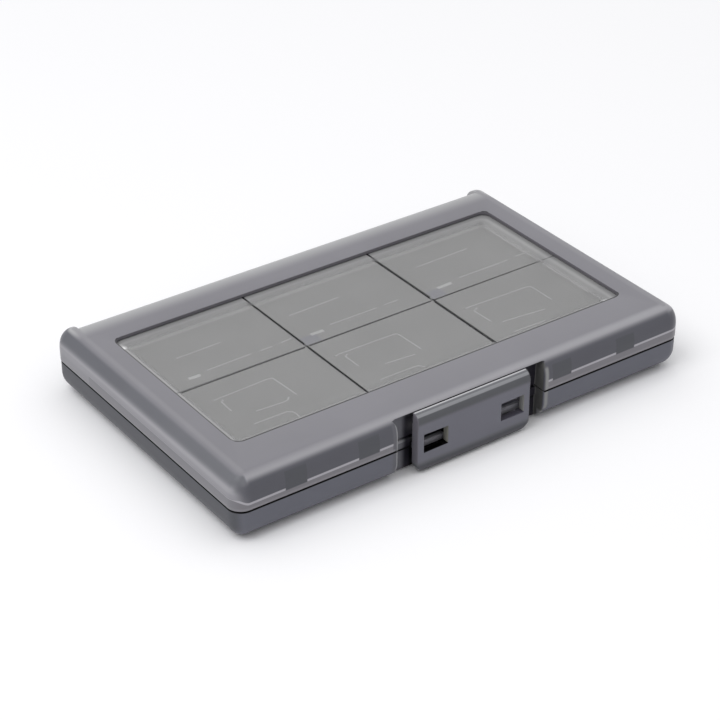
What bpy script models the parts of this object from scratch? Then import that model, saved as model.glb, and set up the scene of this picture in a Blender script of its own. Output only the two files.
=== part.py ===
"""A hard clamshell case for twelve small game cards.

Two moulded shells are hinged along the back and held shut by a flap latch in a bay at the front.
Each shell holds a tray of six pockets, and the lid has a window over its tray.
X runs along the front, the front faces -Y and +Z is up. The origin is on the table, under the middle
of the whole case with its latch and its hinge knuckles.
"""

import math

import bmesh
import bpy
from mathutils import Matrix, Vector

MM = 0.001

# The cards, and the grid of pockets that holds them.
CARD_WIDTH = 31.0 * MM
CARD_DEPTH = 21.0 * MM
CARD_THICKNESS = 3.3 * MM
CARD_CLEARANCE = 0.2 * MM
POCKET_COLUMNS = 3
POCKET_ROWS = 2
POCKET_WALL_X = 1.1 * MM
POCKET_WALL_Y = 2.0 * MM

# The closed case. The window shows the whole grid, and the margins run from it to the case's outside.
SIDE_MARGIN = 7.5 * MM
FRONT_MARGIN = 11.5 * MM
BACK_MARGIN = 11.9 * MM
LID_HEIGHT = 7.35 * MM
BASE_HEIGHT = 7.35 * MM
SEAM = 0.3 * MM
PLAN_CORNER = 3.2 * MM
LEAST_CORNER = 0.3 * MM
LID_EDGE_INSET = 3.2 * MM
LID_EDGE_DROP = 4.5 * MM
BASE_EDGE_INSET = 4.2 * MM
BASE_EDGE_RISE = 5.0 * MM
BASE_STEP_IN = 0.1 * MM
EAR_WIDTH = 3.85 * MM
EAR_PROUD = 1.3 * MM

# Moulded walls, and the gaps between pieces.
LID_WALL = 1.2 * MM
LID_ROOF = 1.4 * MM
BASE_WALL = 1.8 * MM
BASE_FLOOR = 1.4 * MM
FIT = 0.3 * MM
CLOSE_FIT = 0.2 * MM
OVERRUN = 1.0 * MM
MERGE = 0.4 * MM

# The window and its pane.
WINDOW_CORNER = 2.0 * MM
WINDOW_LEDGE = 0.8 * MM
PANE_THICKNESS = 0.5 * MM
PANE_LAP = 1.6 * MM

# The base's tongue, which stands inside the lid's walls, and the lid's ribs above it.
TONGUE_HEIGHT = 1.35 * MM
TONGUE_THICKNESS = 0.9 * MM
TONGUE_ROOT = 2.0 * MM
TONGUE_BACK_MARGIN = 11.3 * MM
RIB_WIDTH = 5.0 * MM
RIB_PROUD = 0.8 * MM
RIB_HEIGHT = 4.4 * MM
INNER_RIB_X = 24.3 * MM
OUTER_RIB_X = 41.4 * MM

# The trays.
TRAY_PLATE = 0.9 * MM
TRAY_RIM_MARGIN = 1.2 * MM
TRAY_RIM_CORNER = 2.0 * MM
TRAY_FLANGE_X_GAP = 3.9 * MM
TRAY_FLANGE_BACK_GAP = 4.0 * MM
TRAY_FLANGE_CORNER = 3.0 * MM
TAB_WIDTH = 2.8 * MM
TAB_REACH = 0.5 * MM
TAB_THICKNESS = 0.7 * MM
TAB_X = 8.9 * MM
NOTCH_WIDTH = 10.8 * MM
NOTCH_DEPTH = 2.0 * MM
GROOVE_WIDTH = 0.45 * MM
GROOVE_DEPTH = 0.45 * MM
CROSSING_WEB = 1.0 * MM
HOOK_LENGTH = 6.0 * MM
HOOK_LAP = 0.7 * MM
HOOK_THICKNESS = 0.8 * MM
HOOK_Y = 15.0 * MM

# The latch bay, the latch and its pin.
BAY_WIDTH = 37.1 * MM
BAY_DEPTH = 3.1 * MM
BAY_WALL = 1.2 * MM
BAND_PROUD = 0.3 * MM
BAND_HEIGHT = 1.8 * MM
LATCH_WIDTH = 28.5 * MM
LATCH_PROUD = 0.8 * MM
LATCH_THICKNESS = 1.5 * MM
LATCH_BARREL_RADIUS = 1.8 * MM
LATCH_AXIS_DROP = 2.66 * MM
LATCH_FLOOR_GAP = 0.35 * MM
LATCH_TUCK_INSET = 1.2 * MM
LATCH_TUCK_RISE = 2.6 * MM
LATCH_CORNER = 2.6 * MM
LATCH_END_WALL = 1.0 * MM
LATCH_END_DEPTH = 2.0 * MM
LATCH_WINDOW_WIDTH = 5.8 * MM
LATCH_WINDOW_HEIGHT = 4.0 * MM
LATCH_WINDOW_X = 9.7 * MM
LATCH_WINDOW_Z = 7.3 * MM
LATCH_PIN_RADIUS = 0.4 * MM
LATCH_PIN_CLEARANCE = 0.15 * MM
LATCH_PIN_WALL = 1.0 * MM
LATCH_KNUCKLE_RADIUS = 1.0 * MM
LUG_INNER_X = 2.8 * MM
LUG_WIDTH = 4.4 * MM
LUG_WEB = 1.25 * MM

# The catch: two bars on the base, seen through the latch's windows, and two hooks under them.
CATCH_WIDTH = 7.4 * MM
CATCH_PROUD = 1.6 * MM
CATCH_HEIGHT = 1.5 * MM
CATCH_DROP = 1.05 * MM
HOOK_TIP_GAP = 0.1 * MM
LATCH_HOOK_THICKNESS = 0.6 * MM

# The two hinges.
KNUCKLE_RADIUS = 1.25 * MM
KNUCKLE_WIDTH = 4.7 * MM
BASE_KNUCKLE_WIDTH = 6.0 * MM
HINGE_END_GAP = 16.25 * MM
HINGE_PIN_RADIUS = 0.5 * MM
HINGE_PIN_CLEARANCE = 0.15 * MM
HINGE_PIN_WALL = 0.8 * MM

# How finely the round shapes are divided.
CORNER_STEPS = 6
EDGE_STEPS = 6
ROD_SIDES = 20
BARREL_STEPS = 8

# Sizes that follow from those above.
POCKET_WIDTH = CARD_WIDTH + 2 * CARD_CLEARANCE
POCKET_DEPTH = CARD_DEPTH + 2 * CARD_CLEARANCE
POCKET_HEIGHT = CARD_THICKNESS + CARD_CLEARANCE + TAB_THICKNESS
PITCH_X = POCKET_WIDTH + POCKET_WALL_X
PITCH_Y = POCKET_DEPTH + POCKET_WALL_Y
WINDOW_WIDTH = POCKET_COLUMNS * PITCH_X
WINDOW_DEPTH = POCKET_ROWS * PITCH_Y
CASE_DEPTH = FRONT_MARGIN + WINDOW_DEPTH + BACK_MARGIN
OVERALL_DEPTH = LATCH_PROUD + CASE_DEPTH - EAR_PROUD + CLOSE_FIT + 2 * KNUCKLE_RADIUS
HALF_WIDTH = WINDOW_WIDTH / 2 + SIDE_MARGIN
FRONT_Y = LATCH_PROUD - OVERALL_DEPTH / 2
EAR_BACK_Y = FRONT_Y + CASE_DEPTH
BACK_Y = EAR_BACK_Y - EAR_PROUD
EAR_X = HALF_WIDTH - EAR_WIDTH
LID_RIM_Z = BASE_HEIGHT + SEAM
LID_TOP_Z = LID_RIM_Z + LID_HEIGHT
ROOF_Z = LID_TOP_Z - LID_ROOF
SPLIT_Z = BASE_HEIGHT + SEAM / 2
BASE_HALF_WIDTH = HALF_WIDTH - BASE_STEP_IN
BASE_FRONT_Y = FRONT_Y + BASE_STEP_IN
BASE_BACK_Y = BACK_Y - BASE_STEP_IN
WINDOW_FRONT_Y = FRONT_Y + FRONT_MARGIN
WINDOW_Y = WINDOW_FRONT_Y + WINDOW_DEPTH / 2
LEDGE_Z = LID_TOP_Z - WINDOW_LEDGE
PANE_TOP_Z = LEDGE_Z - CLOSE_FIT
PANE_BOTTOM_Z = PANE_TOP_Z - PANE_THICKNESS
HALF_BAY = BAY_WIDTH / 2
BAY_Y = FRONT_Y + BAY_DEPTH
BAY_INNER_Y = BAY_Y + BAY_WALL
BAY_INNER_X = HALF_BAY + BAY_WALL
LATCH_FACE_Y = FRONT_Y - LATCH_PROUD
LATCH_BACK_Y = LATCH_FACE_Y + LATCH_THICKNESS
LATCH_AXIS_Y = LATCH_FACE_Y + LATCH_BARREL_RADIUS
LATCH_AXIS_Z = LID_TOP_Z - LATCH_AXIS_DROP
HALF_LATCH = LATCH_WIDTH / 2
LATCH_BORE_RADIUS = LATCH_PIN_RADIUS + LATCH_PIN_CLEARANCE
HINGE_Y = BACK_Y + CLOSE_FIT + KNUCKLE_RADIUS
HINGE_Z = SPLIT_Z
HINGE_X = HALF_WIDTH - HINGE_END_GAP
HINGE_BORE_RADIUS = HINGE_PIN_RADIUS + HINGE_PIN_CLEARANCE
CATCH_TOP_Z = BASE_HEIGHT - CATCH_DROP
CATCH_BOTTOM_Z = CATCH_TOP_Z - CATCH_HEIGHT
CATCH_FRONT_Y = BAY_Y - CATCH_PROUD


def clear_scene():
    for obj in list(bpy.data.objects):
        bpy.data.objects.remove(obj, do_unlink=True)


def new_collection(name):
    collection = bpy.data.collections.new(name)
    bpy.context.scene.collection.children.link(collection)
    return collection


def plastic(name, colour, roughness, metallic=0.0, alpha=1.0):
    material = bpy.data.materials.new(name)
    material.use_nodes = True
    shader = material.node_tree.nodes["Principled BSDF"]
    shader.inputs["Base Color"].default_value = (*colour, 1.0)
    shader.inputs["Roughness"].default_value = roughness
    shader.inputs["Metallic"].default_value = metallic
    shader.inputs["Alpha"].default_value = alpha
    return material


def finished(name, mesh_source):
    """Turns a bmesh into an object among the cutters; a piece of the case is moved to its own collection."""
    bmesh.ops.recalc_face_normals(mesh_source, faces=mesh_source.faces)
    mesh = bpy.data.meshes.new(name)
    mesh_source.to_mesh(mesh)
    mesh_source.free()
    obj = bpy.data.objects.new(name, mesh)
    obj.hide_render = True
    obj.display_type = "WIRE"
    CUTTERS.objects.link(obj)
    return obj


def make_piece(obj, material):
    """Moves a finished object into the case's collection, with its material and its smooth shading."""
    CUTTERS.objects.unlink(obj)
    CASE.objects.link(obj)
    obj.hide_render = False
    obj.display_type = "TEXTURED"
    obj.data.materials.append(material)
    obj.data.shade_smooth()
    obj.data.set_sharp_from_angle(angle=math.radians(30))
    return obj


def box(name, x, y, z, radius=0, along=None):
    """A block between two planes on each axis. A radius rounds its four edges along one of them."""
    source = bmesh.new()
    bmesh.ops.create_cube(source, size=1)
    size = Vector((x[1] - x[0], y[1] - y[0], z[1] - z[0]))
    centre = Vector((x[0] + x[1], y[0] + y[1], z[0] + z[1])) / 2
    bmesh.ops.transform(source, matrix=Matrix.Translation(centre) @ Matrix.Diagonal((*size, 1)), verts=source.verts)
    if along is not None:
        edges = [edge for edge in source.edges if (edge.verts[0].co - edge.verts[1].co)[along]]
        bmesh.ops.bevel(source, geom=edges, offset=radius, segments=CORNER_STEPS, profile=0.5, affect="EDGES")
    return finished(name, source)


def rod(name, radius, x, y, z):
    """A round bar along X between x[0] and x[1]."""
    source = bmesh.new()
    bmesh.ops.create_cone(
        source, cap_ends=True, segments=ROD_SIDES, radius1=radius, radius2=radius, depth=x[1] - x[0]
    )
    turn = Matrix.Rotation(math.pi / 2, 4, "Y")
    place = Matrix.Translation(((x[0] + x[1]) / 2, y, z))
    bmesh.ops.transform(source, matrix=place @ turn, verts=source.verts)
    return finished(name, source)


def outline(half_width, front, back, corner, inset):
    """The points of a rounded rectangle drawn in by inset, whose corners tighten as it shrinks."""
    radius = max(corner - inset, LEAST_CORNER)
    x = half_width - inset - radius
    low = front + inset + radius
    high = back - inset - radius
    points = []
    for quarter, (centre_x, centre_y) in enumerate(((x, high), (-x, high), (-x, low), (x, low))):
        for step in range(CORNER_STEPS + 1):
            turn = math.pi / 2 * (quarter + step / CORNER_STEPS)
            points.append((centre_x + radius * math.cos(turn), centre_y + radius * math.sin(turn)))
    return points


def lofted(name, rings):
    """A closed solid through rings of (outline points, height), capped at both ends.

    The shells' edges draw in further than their plan corners, which no bevel does, so they are lofted.
    """
    source = bmesh.new()
    loops = [[source.verts.new((x, y, z)) for x, y in points] for points, z in rings]
    for lower, upper in zip(loops, loops[1:]):
        for index in range(len(lower)):
            after = (index + 1) % len(lower)
            source.faces.new((lower[index], lower[after], upper[after], upper[index]))
    source.faces.new(loops[0])
    source.faces.new(loops[-1])
    return finished(name, source)


def plate(name, half_width, front, back, corner, z):
    """A block centred on X whose upright edges are rounded."""
    return box(name, (-half_width, half_width), (front, back), z, corner, along=2)


def tub(name, half_width, front, back, corner, edge, rim_z, flat_z):
    """A rounded block with straight walls from rim_z that turn in over an elliptical edge to flat_z."""
    inset, drop = edge
    way = math.copysign(1, flat_z - rim_z)
    rings = [(outline(half_width, front, back, corner, 0), rim_z)]
    for step in range(EDGE_STEPS + 1):
        turn = math.pi / 2 * step / EDGE_STEPS
        points = outline(half_width, front, back, corner, inset * (1 - math.cos(turn)))
        rings.append((points, flat_z - way * drop * (1 - math.sin(turn))))
    return lofted(name, rings)


def extruded(name, profile, x):
    """A profile of (y, z) points carried along X from x[0] to x[1]."""
    source = bmesh.new()
    face = source.faces.new([source.verts.new((x[0], y, z)) for y, z in profile])
    grown = bmesh.ops.extrude_face_region(source, geom=[face])
    moved = [item for item in grown["geom"] if isinstance(item, bmesh.types.BMVert)]
    bmesh.ops.translate(source, vec=(x[1] - x[0], 0, 0), verts=moved)
    return finished(name, source)


def combine(target, other, operation):
    change = target.modifiers.new(f"{operation.lower()} {other.name}", "BOOLEAN")
    change.operation = operation
    change.object = other
    change.solver = "EXACT"
    other.parent = target
    return target


def cut(target, *others):
    for other in others:
        combine(target, other, "DIFFERENCE")
    return target


def join(target, *others):
    for other in others:
        combine(target, other, "UNION")
    return target


def both_sides(low, high):
    """A span on the right, and its mirror image on the left."""
    return ((low, high), (-high, -low))


def latch_bay(name, z):
    """The hollow that the latch sits in: straight below the latch's axis, and round about it above."""
    room = rod(f"{name}_barrel_room", LATCH_BARREL_RADIUS + FIT, (-HALF_BAY, HALF_BAY), LATCH_AXIS_Y, LATCH_AXIS_Z)
    hollow = box(name, (-HALF_BAY, HALF_BAY), (LATCH_FACE_Y - OVERRUN, BAY_Y), z)
    return join(hollow, room)


def tray_hooks(name, wall_x, z):
    """Four snap hooks on a shell's side walls that keep its tray in."""
    hooks = []
    tip_x = HALF_WIDTH - TRAY_FLANGE_X_GAP - HOOK_LAP
    for side, x in enumerate(both_sides(tip_x, wall_x + MERGE)):
        for row, centre in enumerate((WINDOW_Y - HOOK_Y, WINDOW_Y + HOOK_Y)):
            span = (centre - HOOK_LENGTH / 2, centre + HOOK_LENGTH / 2)
            hooks.append(box(f"{name}_hook_{side}_{row}", x, span, z))
    return hooks


def hinge_knuckles(name, spans, wall_y, web_z):
    """Round knuckles on the hinge axis, each with a web that roots it in its shell's back wall."""
    knuckles = []
    for index, x in enumerate(spans):
        barrel = rod(f"{name}_knuckle_{index}", KNUCKLE_RADIUS, x, HINGE_Y, HINGE_Z)
        web = box(f"{name}_knuckle_web_{index}", x, (wall_y - MERGE, HINGE_Y), web_z)
        knuckles.append(join(web, barrel))
    return knuckles


def hinge_bores(name):
    """The bores of both hinges, which stop short of each hinge's outer face."""
    reach = BASE_KNUCKLE_WIDTH / 2 + FIT + KNUCKLE_WIDTH
    spans = both_sides(HINGE_X - reach - OVERRUN, HINGE_X + reach - HINGE_PIN_WALL)
    return [rod(f"{name}_hinge_bore_{index}", HINGE_BORE_RADIUS, x, HINGE_Y, HINGE_Z) for index, x in enumerate(spans)]


def lid_knuckle_spans():
    near = HINGE_X - BASE_KNUCKLE_WIDTH / 2 - FIT
    far = HINGE_X + BASE_KNUCKLE_WIDTH / 2 + FIT
    return both_sides(near - KNUCKLE_WIDTH, near) + both_sides(far, far + KNUCKLE_WIDTH)


def lid_shell(material):
    """The top shell: window, latch bay with its pin lugs, ears at the back corners and lid knuckles."""
    edge = (LID_EDGE_INSET, LID_EDGE_DROP)
    body = tub("lid_shell", HALF_WIDTH, FRONT_Y, BACK_Y, PLAN_CORNER, edge, LID_RIM_Z, LID_TOP_Z)
    for index, x in enumerate(both_sides(EAR_X, HALF_WIDTH + OVERRUN)):
        ear = tub(f"lid_ear_{index}", HALF_WIDTH, FRONT_Y, EAR_BACK_Y, PLAN_CORNER, edge, LID_RIM_Z, LID_TOP_Z)
        corner = box(f"lid_ear_corner_{index}", x, (WINDOW_Y, EAR_BACK_Y + OVERRUN), (SPLIT_Z, LID_TOP_Z + OVERRUN))
        join(body, combine(ear, corner, "INTERSECT"))

    inner_edge = (LID_EDGE_INSET - LID_WALL, LID_EDGE_DROP - LID_ROOF)
    hollow = tub(
        "lid_hollow",
        HALF_WIDTH - LID_WALL,
        FRONT_Y + LID_WALL,
        BACK_Y - LID_WALL,
        PLAN_CORNER - LID_WALL,
        inner_edge,
        LID_RIM_Z - OVERRUN,
        ROOF_Z,
    )
    bay_surround = box(
        "lid_bay_surround",
        (-BAY_INNER_X, BAY_INNER_X),
        (FRONT_Y - OVERRUN, BAY_INNER_Y),
        (LID_RIM_Z - 2 * OVERRUN, LID_TOP_Z),
    )
    cut(body, cut(hollow, bay_surround))

    rib_z = (LID_RIM_Z + TONGUE_HEIGHT, LID_RIM_Z + TONGUE_HEIGHT + RIB_HEIGHT)
    for index, centre in enumerate((-OUTER_RIB_X, -INNER_RIB_X, INNER_RIB_X, OUTER_RIB_X)):
        x = (centre - RIB_WIDTH / 2, centre + RIB_WIDTH / 2)
        y = (FRONT_Y + LID_WALL - MERGE, FRONT_Y + LID_WALL + RIB_PROUD)
        join(body, box(f"lid_rib_{index}", x, y, rib_z))

    half_window = WINDOW_WIDTH / 2
    window_back_y = WINDOW_FRONT_Y + WINDOW_DEPTH
    through = (PANE_BOTTOM_Z - OVERRUN, LID_TOP_Z + OVERRUN)
    window = plate("lid_window", half_window, WINDOW_FRONT_Y, window_back_y, WINDOW_CORNER, through)
    lap = PANE_LAP + CLOSE_FIT
    seat = plate(
        "lid_pane_seat",
        half_window + lap,
        WINDOW_FRONT_Y - lap,
        window_back_y + lap,
        WINDOW_CORNER + lap,
        (PANE_BOTTOM_Z - OVERRUN, LEDGE_Z),
    )
    cut(body, window, seat, latch_bay("lid_bay", (LID_RIM_Z - OVERRUN, LATCH_AXIS_Z)))

    for index, x in enumerate(both_sides(LUG_INNER_X, LUG_INNER_X + LUG_WIDTH)):
        eye = rod(f"latch_lug_eye_{index}", LATCH_KNUCKLE_RADIUS, x, LATCH_AXIS_Y, LATCH_AXIS_Z)
        web_top = LATCH_AXIS_Z - LATCH_PIN_CLEARANCE
        web = box(f"latch_lug_web_{index}", x, (LATCH_AXIS_Y, BAY_Y + MERGE), (web_top - LUG_WEB, web_top))
        join(body, join(web, eye))
    pin_reach = LUG_INNER_X + LUG_WIDTH + OVERRUN
    cut(body, rod("lid_latch_bore", LATCH_BORE_RADIUS, (-pin_reach, pin_reach), LATCH_AXIS_Y, LATCH_AXIS_Z))

    flange_under_z = PANE_BOTTOM_Z - CLOSE_FIT - TRAY_PLATE
    hook_z = (flange_under_z - FIT - HOOK_THICKNESS, flange_under_z - FIT)
    join(body, *tray_hooks("lid", HALF_WIDTH - LID_WALL, hook_z))
    join(body, *hinge_knuckles("lid", lid_knuckle_spans(), BACK_Y, (LID_RIM_Z, HINGE_Z + KNUCKLE_RADIUS)))
    cut(body, *hinge_bores("lid"))
    return make_piece(body, material)


def base_shell(material):
    """The bottom shell: flat to stand on, with the tongue, the catch bars and the base knuckles."""
    edge = (BASE_EDGE_INSET, BASE_EDGE_RISE)
    corner = PLAN_CORNER - BASE_STEP_IN
    ear_back_y = EAR_BACK_Y - BASE_STEP_IN
    body = tub("base_shell", BASE_HALF_WIDTH, BASE_FRONT_Y, BASE_BACK_Y, corner, edge, BASE_HEIGHT, 0)
    for index, x in enumerate(both_sides(EAR_X, HALF_WIDTH + OVERRUN)):
        ear = tub(f"base_ear_{index}", BASE_HALF_WIDTH, BASE_FRONT_Y, ear_back_y, corner, edge, BASE_HEIGHT, 0)
        end = box(f"base_ear_corner_{index}", x, (WINDOW_Y, ear_back_y + OVERRUN), (-OVERRUN, SPLIT_Z))
        join(body, combine(ear, end, "INTERSECT"))

    inner_edge = (BASE_EDGE_INSET - BASE_WALL, BASE_EDGE_RISE - BASE_FLOOR)
    hollow = tub(
        "base_hollow",
        BASE_HALF_WIDTH - BASE_WALL,
        BASE_FRONT_Y + BASE_WALL,
        BASE_BACK_Y - BASE_WALL,
        corner - BASE_WALL,
        inner_edge,
        BASE_HEIGHT + OVERRUN,
        BASE_FLOOR,
    )
    surround_z = (-OVERRUN, BASE_HEIGHT + 2 * OVERRUN)
    surround_y = (FRONT_Y - OVERRUN, BAY_INNER_Y)
    bay_surround = box("base_bay_surround", (-BAY_INNER_X, BAY_INNER_X), surround_y, surround_z)
    cut(body, cut(hollow, bay_surround))

    tongue_z = (BASE_HEIGHT - TONGUE_ROOT, BASE_HEIGHT + TONGUE_HEIGHT)
    inset = LID_WALL + FIT
    tongue = plate(
        "tongue",
        HALF_WIDTH - inset,
        FRONT_Y + inset,
        BACK_Y - inset,
        PLAN_CORNER - inset,
        tongue_z,
    )
    deep = inset + TONGUE_THICKNESS
    core = plate(
        "tongue_core",
        HALF_WIDTH - deep,
        FRONT_Y + deep,
        BACK_Y - deep,
        max(PLAN_CORNER - deep, LEAST_CORNER),
        (tongue_z[0] - OVERRUN, tongue_z[1] + OVERRUN),
    )
    tongue_end_y = EAR_BACK_Y - TONGUE_BACK_MARGIN
    past_z = (tongue_z[0] - OVERRUN, tongue_z[1] + OVERRUN)
    back = box("tongue_back", (-HALF_WIDTH, HALF_WIDTH), (tongue_end_y, EAR_BACK_Y), past_z)
    gap_x = BAY_INNER_X + FIT
    gap = box("tongue_gap", (-gap_x, gap_x), (FRONT_Y, BAY_INNER_Y + OVERRUN), past_z)
    join(body, cut(tongue, core, back, gap))
    cut(body, latch_bay("base_bay", (-OVERRUN, BASE_HEIGHT + OVERRUN)))

    band_y = (BAY_Y - BAND_PROUD, BAY_Y + MERGE)
    join(body, box("catch_band", (-HALF_BAY, HALF_BAY), band_y, (BASE_HEIGHT - BAND_HEIGHT, BASE_HEIGHT)))
    for index, centre in enumerate((LATCH_WINDOW_X, -LATCH_WINDOW_X)):
        x = (centre - CATCH_WIDTH / 2, centre + CATCH_WIDTH / 2)
        bar = box(f"catch_bar_{index}", x, (CATCH_FRONT_Y, BAY_Y + MERGE), (CATCH_BOTTOM_Z, CATCH_TOP_Z))
        join(body, bar)

    flange_top_z = BASE_FLOOR + FIT + TRAY_PLATE
    hook_z = (flange_top_z + FIT, flange_top_z + FIT + HOOK_THICKNESS)
    join(body, *tray_hooks("base", BASE_HALF_WIDTH - BASE_WALL, hook_z))
    half = BASE_KNUCKLE_WIDTH / 2
    spans = both_sides(HINGE_X - half, HINGE_X + half)
    join(body, *hinge_knuckles("base", spans, BASE_BACK_Y, (HINGE_Z - KNUCKLE_RADIUS, BASE_HEIGHT)))
    cut(body, *hinge_bores("base"))
    return make_piece(body, material)


def window_pane(material):
    """The smoked sheet behind the lid's window, held between the ledge and the lid's tray."""
    half_width = WINDOW_WIDTH / 2 + PANE_LAP
    front = WINDOW_FRONT_Y - PANE_LAP
    back = WINDOW_FRONT_Y + WINDOW_DEPTH + PANE_LAP
    corner = WINDOW_CORNER + PANE_LAP
    return make_piece(plate("window_pane", half_width, front, back, corner, (PANE_BOTTOM_Z, PANE_TOP_Z)), material)


def pocket_centres():
    for row in range(POCKET_ROWS):
        for column in range(POCKET_COLUMNS):
            x = (column - (POCKET_COLUMNS - 1) / 2) * PITCH_X
            y = WINDOW_Y + (row - (POCKET_ROWS - 1) / 2) * PITCH_Y
            yield f"{row}_{column}", x, y


def tray_grooves(name, face_z, way):
    """The slots that part the pockets on the tray's outer face, which leave a web at each crossing."""
    z = sorted((face_z - way * OVERRUN, face_z + way * GROOVE_DEPTH))
    web = CROSSING_WEB / 2
    grooves = []
    for column in range(1, POCKET_COLUMNS):
        x = (column - POCKET_COLUMNS / 2) * PITCH_X
        span = (x - GROOVE_WIDTH / 2, x + GROOVE_WIDTH / 2)
        for row in range(POCKET_ROWS):
            low = WINDOW_FRONT_Y + row * PITCH_Y
            grooves.append(box(f"{name}_groove_y_{column}_{row}", span, (low + web, low + PITCH_Y - web), z))
    for column in range(POCKET_COLUMNS):
        low = (column - POCKET_COLUMNS / 2) * PITCH_X
        span = (WINDOW_Y - GROOVE_WIDTH / 2, WINDOW_Y + GROOVE_WIDTH / 2)
        grooves.append(box(f"{name}_groove_x_{column}", (low + web, low + PITCH_X - web), span, z))
    return grooves


def card_tray(name, face_z, way, material):
    """A six-pocket tray whose plate's outer face is at face_z and whose pockets open along way."""
    plate_inner_z = face_z + way * TRAY_PLATE
    mouth_z = plate_inner_z + way * POCKET_HEIGHT
    flange = plate(
        name,
        HALF_WIDTH - TRAY_FLANGE_X_GAP,
        BAY_INNER_Y + FIT,
        BACK_Y - TRAY_FLANGE_BACK_GAP,
        TRAY_FLANGE_CORNER,
        sorted((face_z, plate_inner_z)),
    )
    rim = plate(
        f"{name}_rim",
        WINDOW_WIDTH / 2 + TRAY_RIM_MARGIN,
        WINDOW_FRONT_Y - TRAY_RIM_MARGIN,
        WINDOW_FRONT_Y + WINDOW_DEPTH + TRAY_RIM_MARGIN,
        TRAY_RIM_CORNER,
        sorted((face_z + way * TRAY_PLATE / 2, mouth_z)),
    )
    join(flange, rim)

    depth_z = sorted((plate_inner_z, mouth_z + way * OVERRUN))
    notch_z = sorted((mouth_z - way * NOTCH_DEPTH, mouth_z + way * OVERRUN))
    tab_z = sorted((mouth_z - way * TAB_THICKNESS, mouth_z))
    for place, x, y in pocket_centres():
        half_x = POCKET_WIDTH / 2
        half_y = POCKET_DEPTH / 2
        pocket = box(f"{name}_pocket_{place}", (x - half_x, x + half_x), (y - half_y, y + half_y), depth_z)
        notch_x = (x - NOTCH_WIDTH / 2, x + NOTCH_WIDTH / 2)
        notch_y = (y - PITCH_Y / 2 - TRAY_RIM_MARGIN - OVERRUN, y)
        cut(flange, pocket, box(f"{name}_notch_{place}", notch_x, notch_y, notch_z))
    for place, x, y in pocket_centres():
        front = y - POCKET_DEPTH / 2
        back = y + POCKET_DEPTH / 2
        for index, offset in enumerate((-TAB_X, TAB_X)):
            span = (x + offset - TAB_WIDTH / 2, x + offset + TAB_WIDTH / 2)
            join(flange, box(f"{name}_front_tab_{place}_{index}", span, (front - MERGE, front + TAB_REACH), tab_z))
            join(flange, box(f"{name}_back_tab_{place}_{index}", span, (back - TAB_REACH, back + MERGE), tab_z))
    cut(flange, *tray_grooves(name, face_z, way))
    return make_piece(flange, material)


def latch_profile(back_y):
    """The latch's section: round over its axis, flat down the front, and tucked in at the foot."""
    points = []
    for step in range(BARREL_STEPS + 1):
        turn = math.pi / 2 * (1 + step / BARREL_STEPS)
        y = LATCH_AXIS_Y + LATCH_BARREL_RADIUS * math.cos(turn)
        points.append((y, LATCH_AXIS_Z + LATCH_BARREL_RADIUS * math.sin(turn)))
    tuck_z = LATCH_FLOOR_GAP + LATCH_TUCK_RISE
    for step in range(EDGE_STEPS + 1):
        turn = math.pi / 2 * step / EDGE_STEPS
        y = LATCH_FACE_Y + LATCH_TUCK_INSET * (1 - math.cos(turn))
        points.append((y, tuck_z - LATCH_TUCK_RISE * math.sin(turn)))
    points.append((back_y, LATCH_FLOOR_GAP))
    points.append((back_y, LATCH_AXIS_Z - LATCH_KNUCKLE_RADIUS))
    points.append((LATCH_AXIS_Y, LATCH_AXIS_Z))
    return points


def latch_front():
    """The latch's outline from the front: two rounded corners at the foot."""
    y = (LATCH_FACE_Y - OVERRUN, BAY_Y)
    z = (LATCH_FLOOR_GAP, LATCH_AXIS_Z + LATCH_BARREL_RADIUS + LATCH_CORNER)
    return box("latch_front_outline", (-HALF_LATCH, HALF_LATCH), y, z, LATCH_CORNER, along=1)


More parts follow.
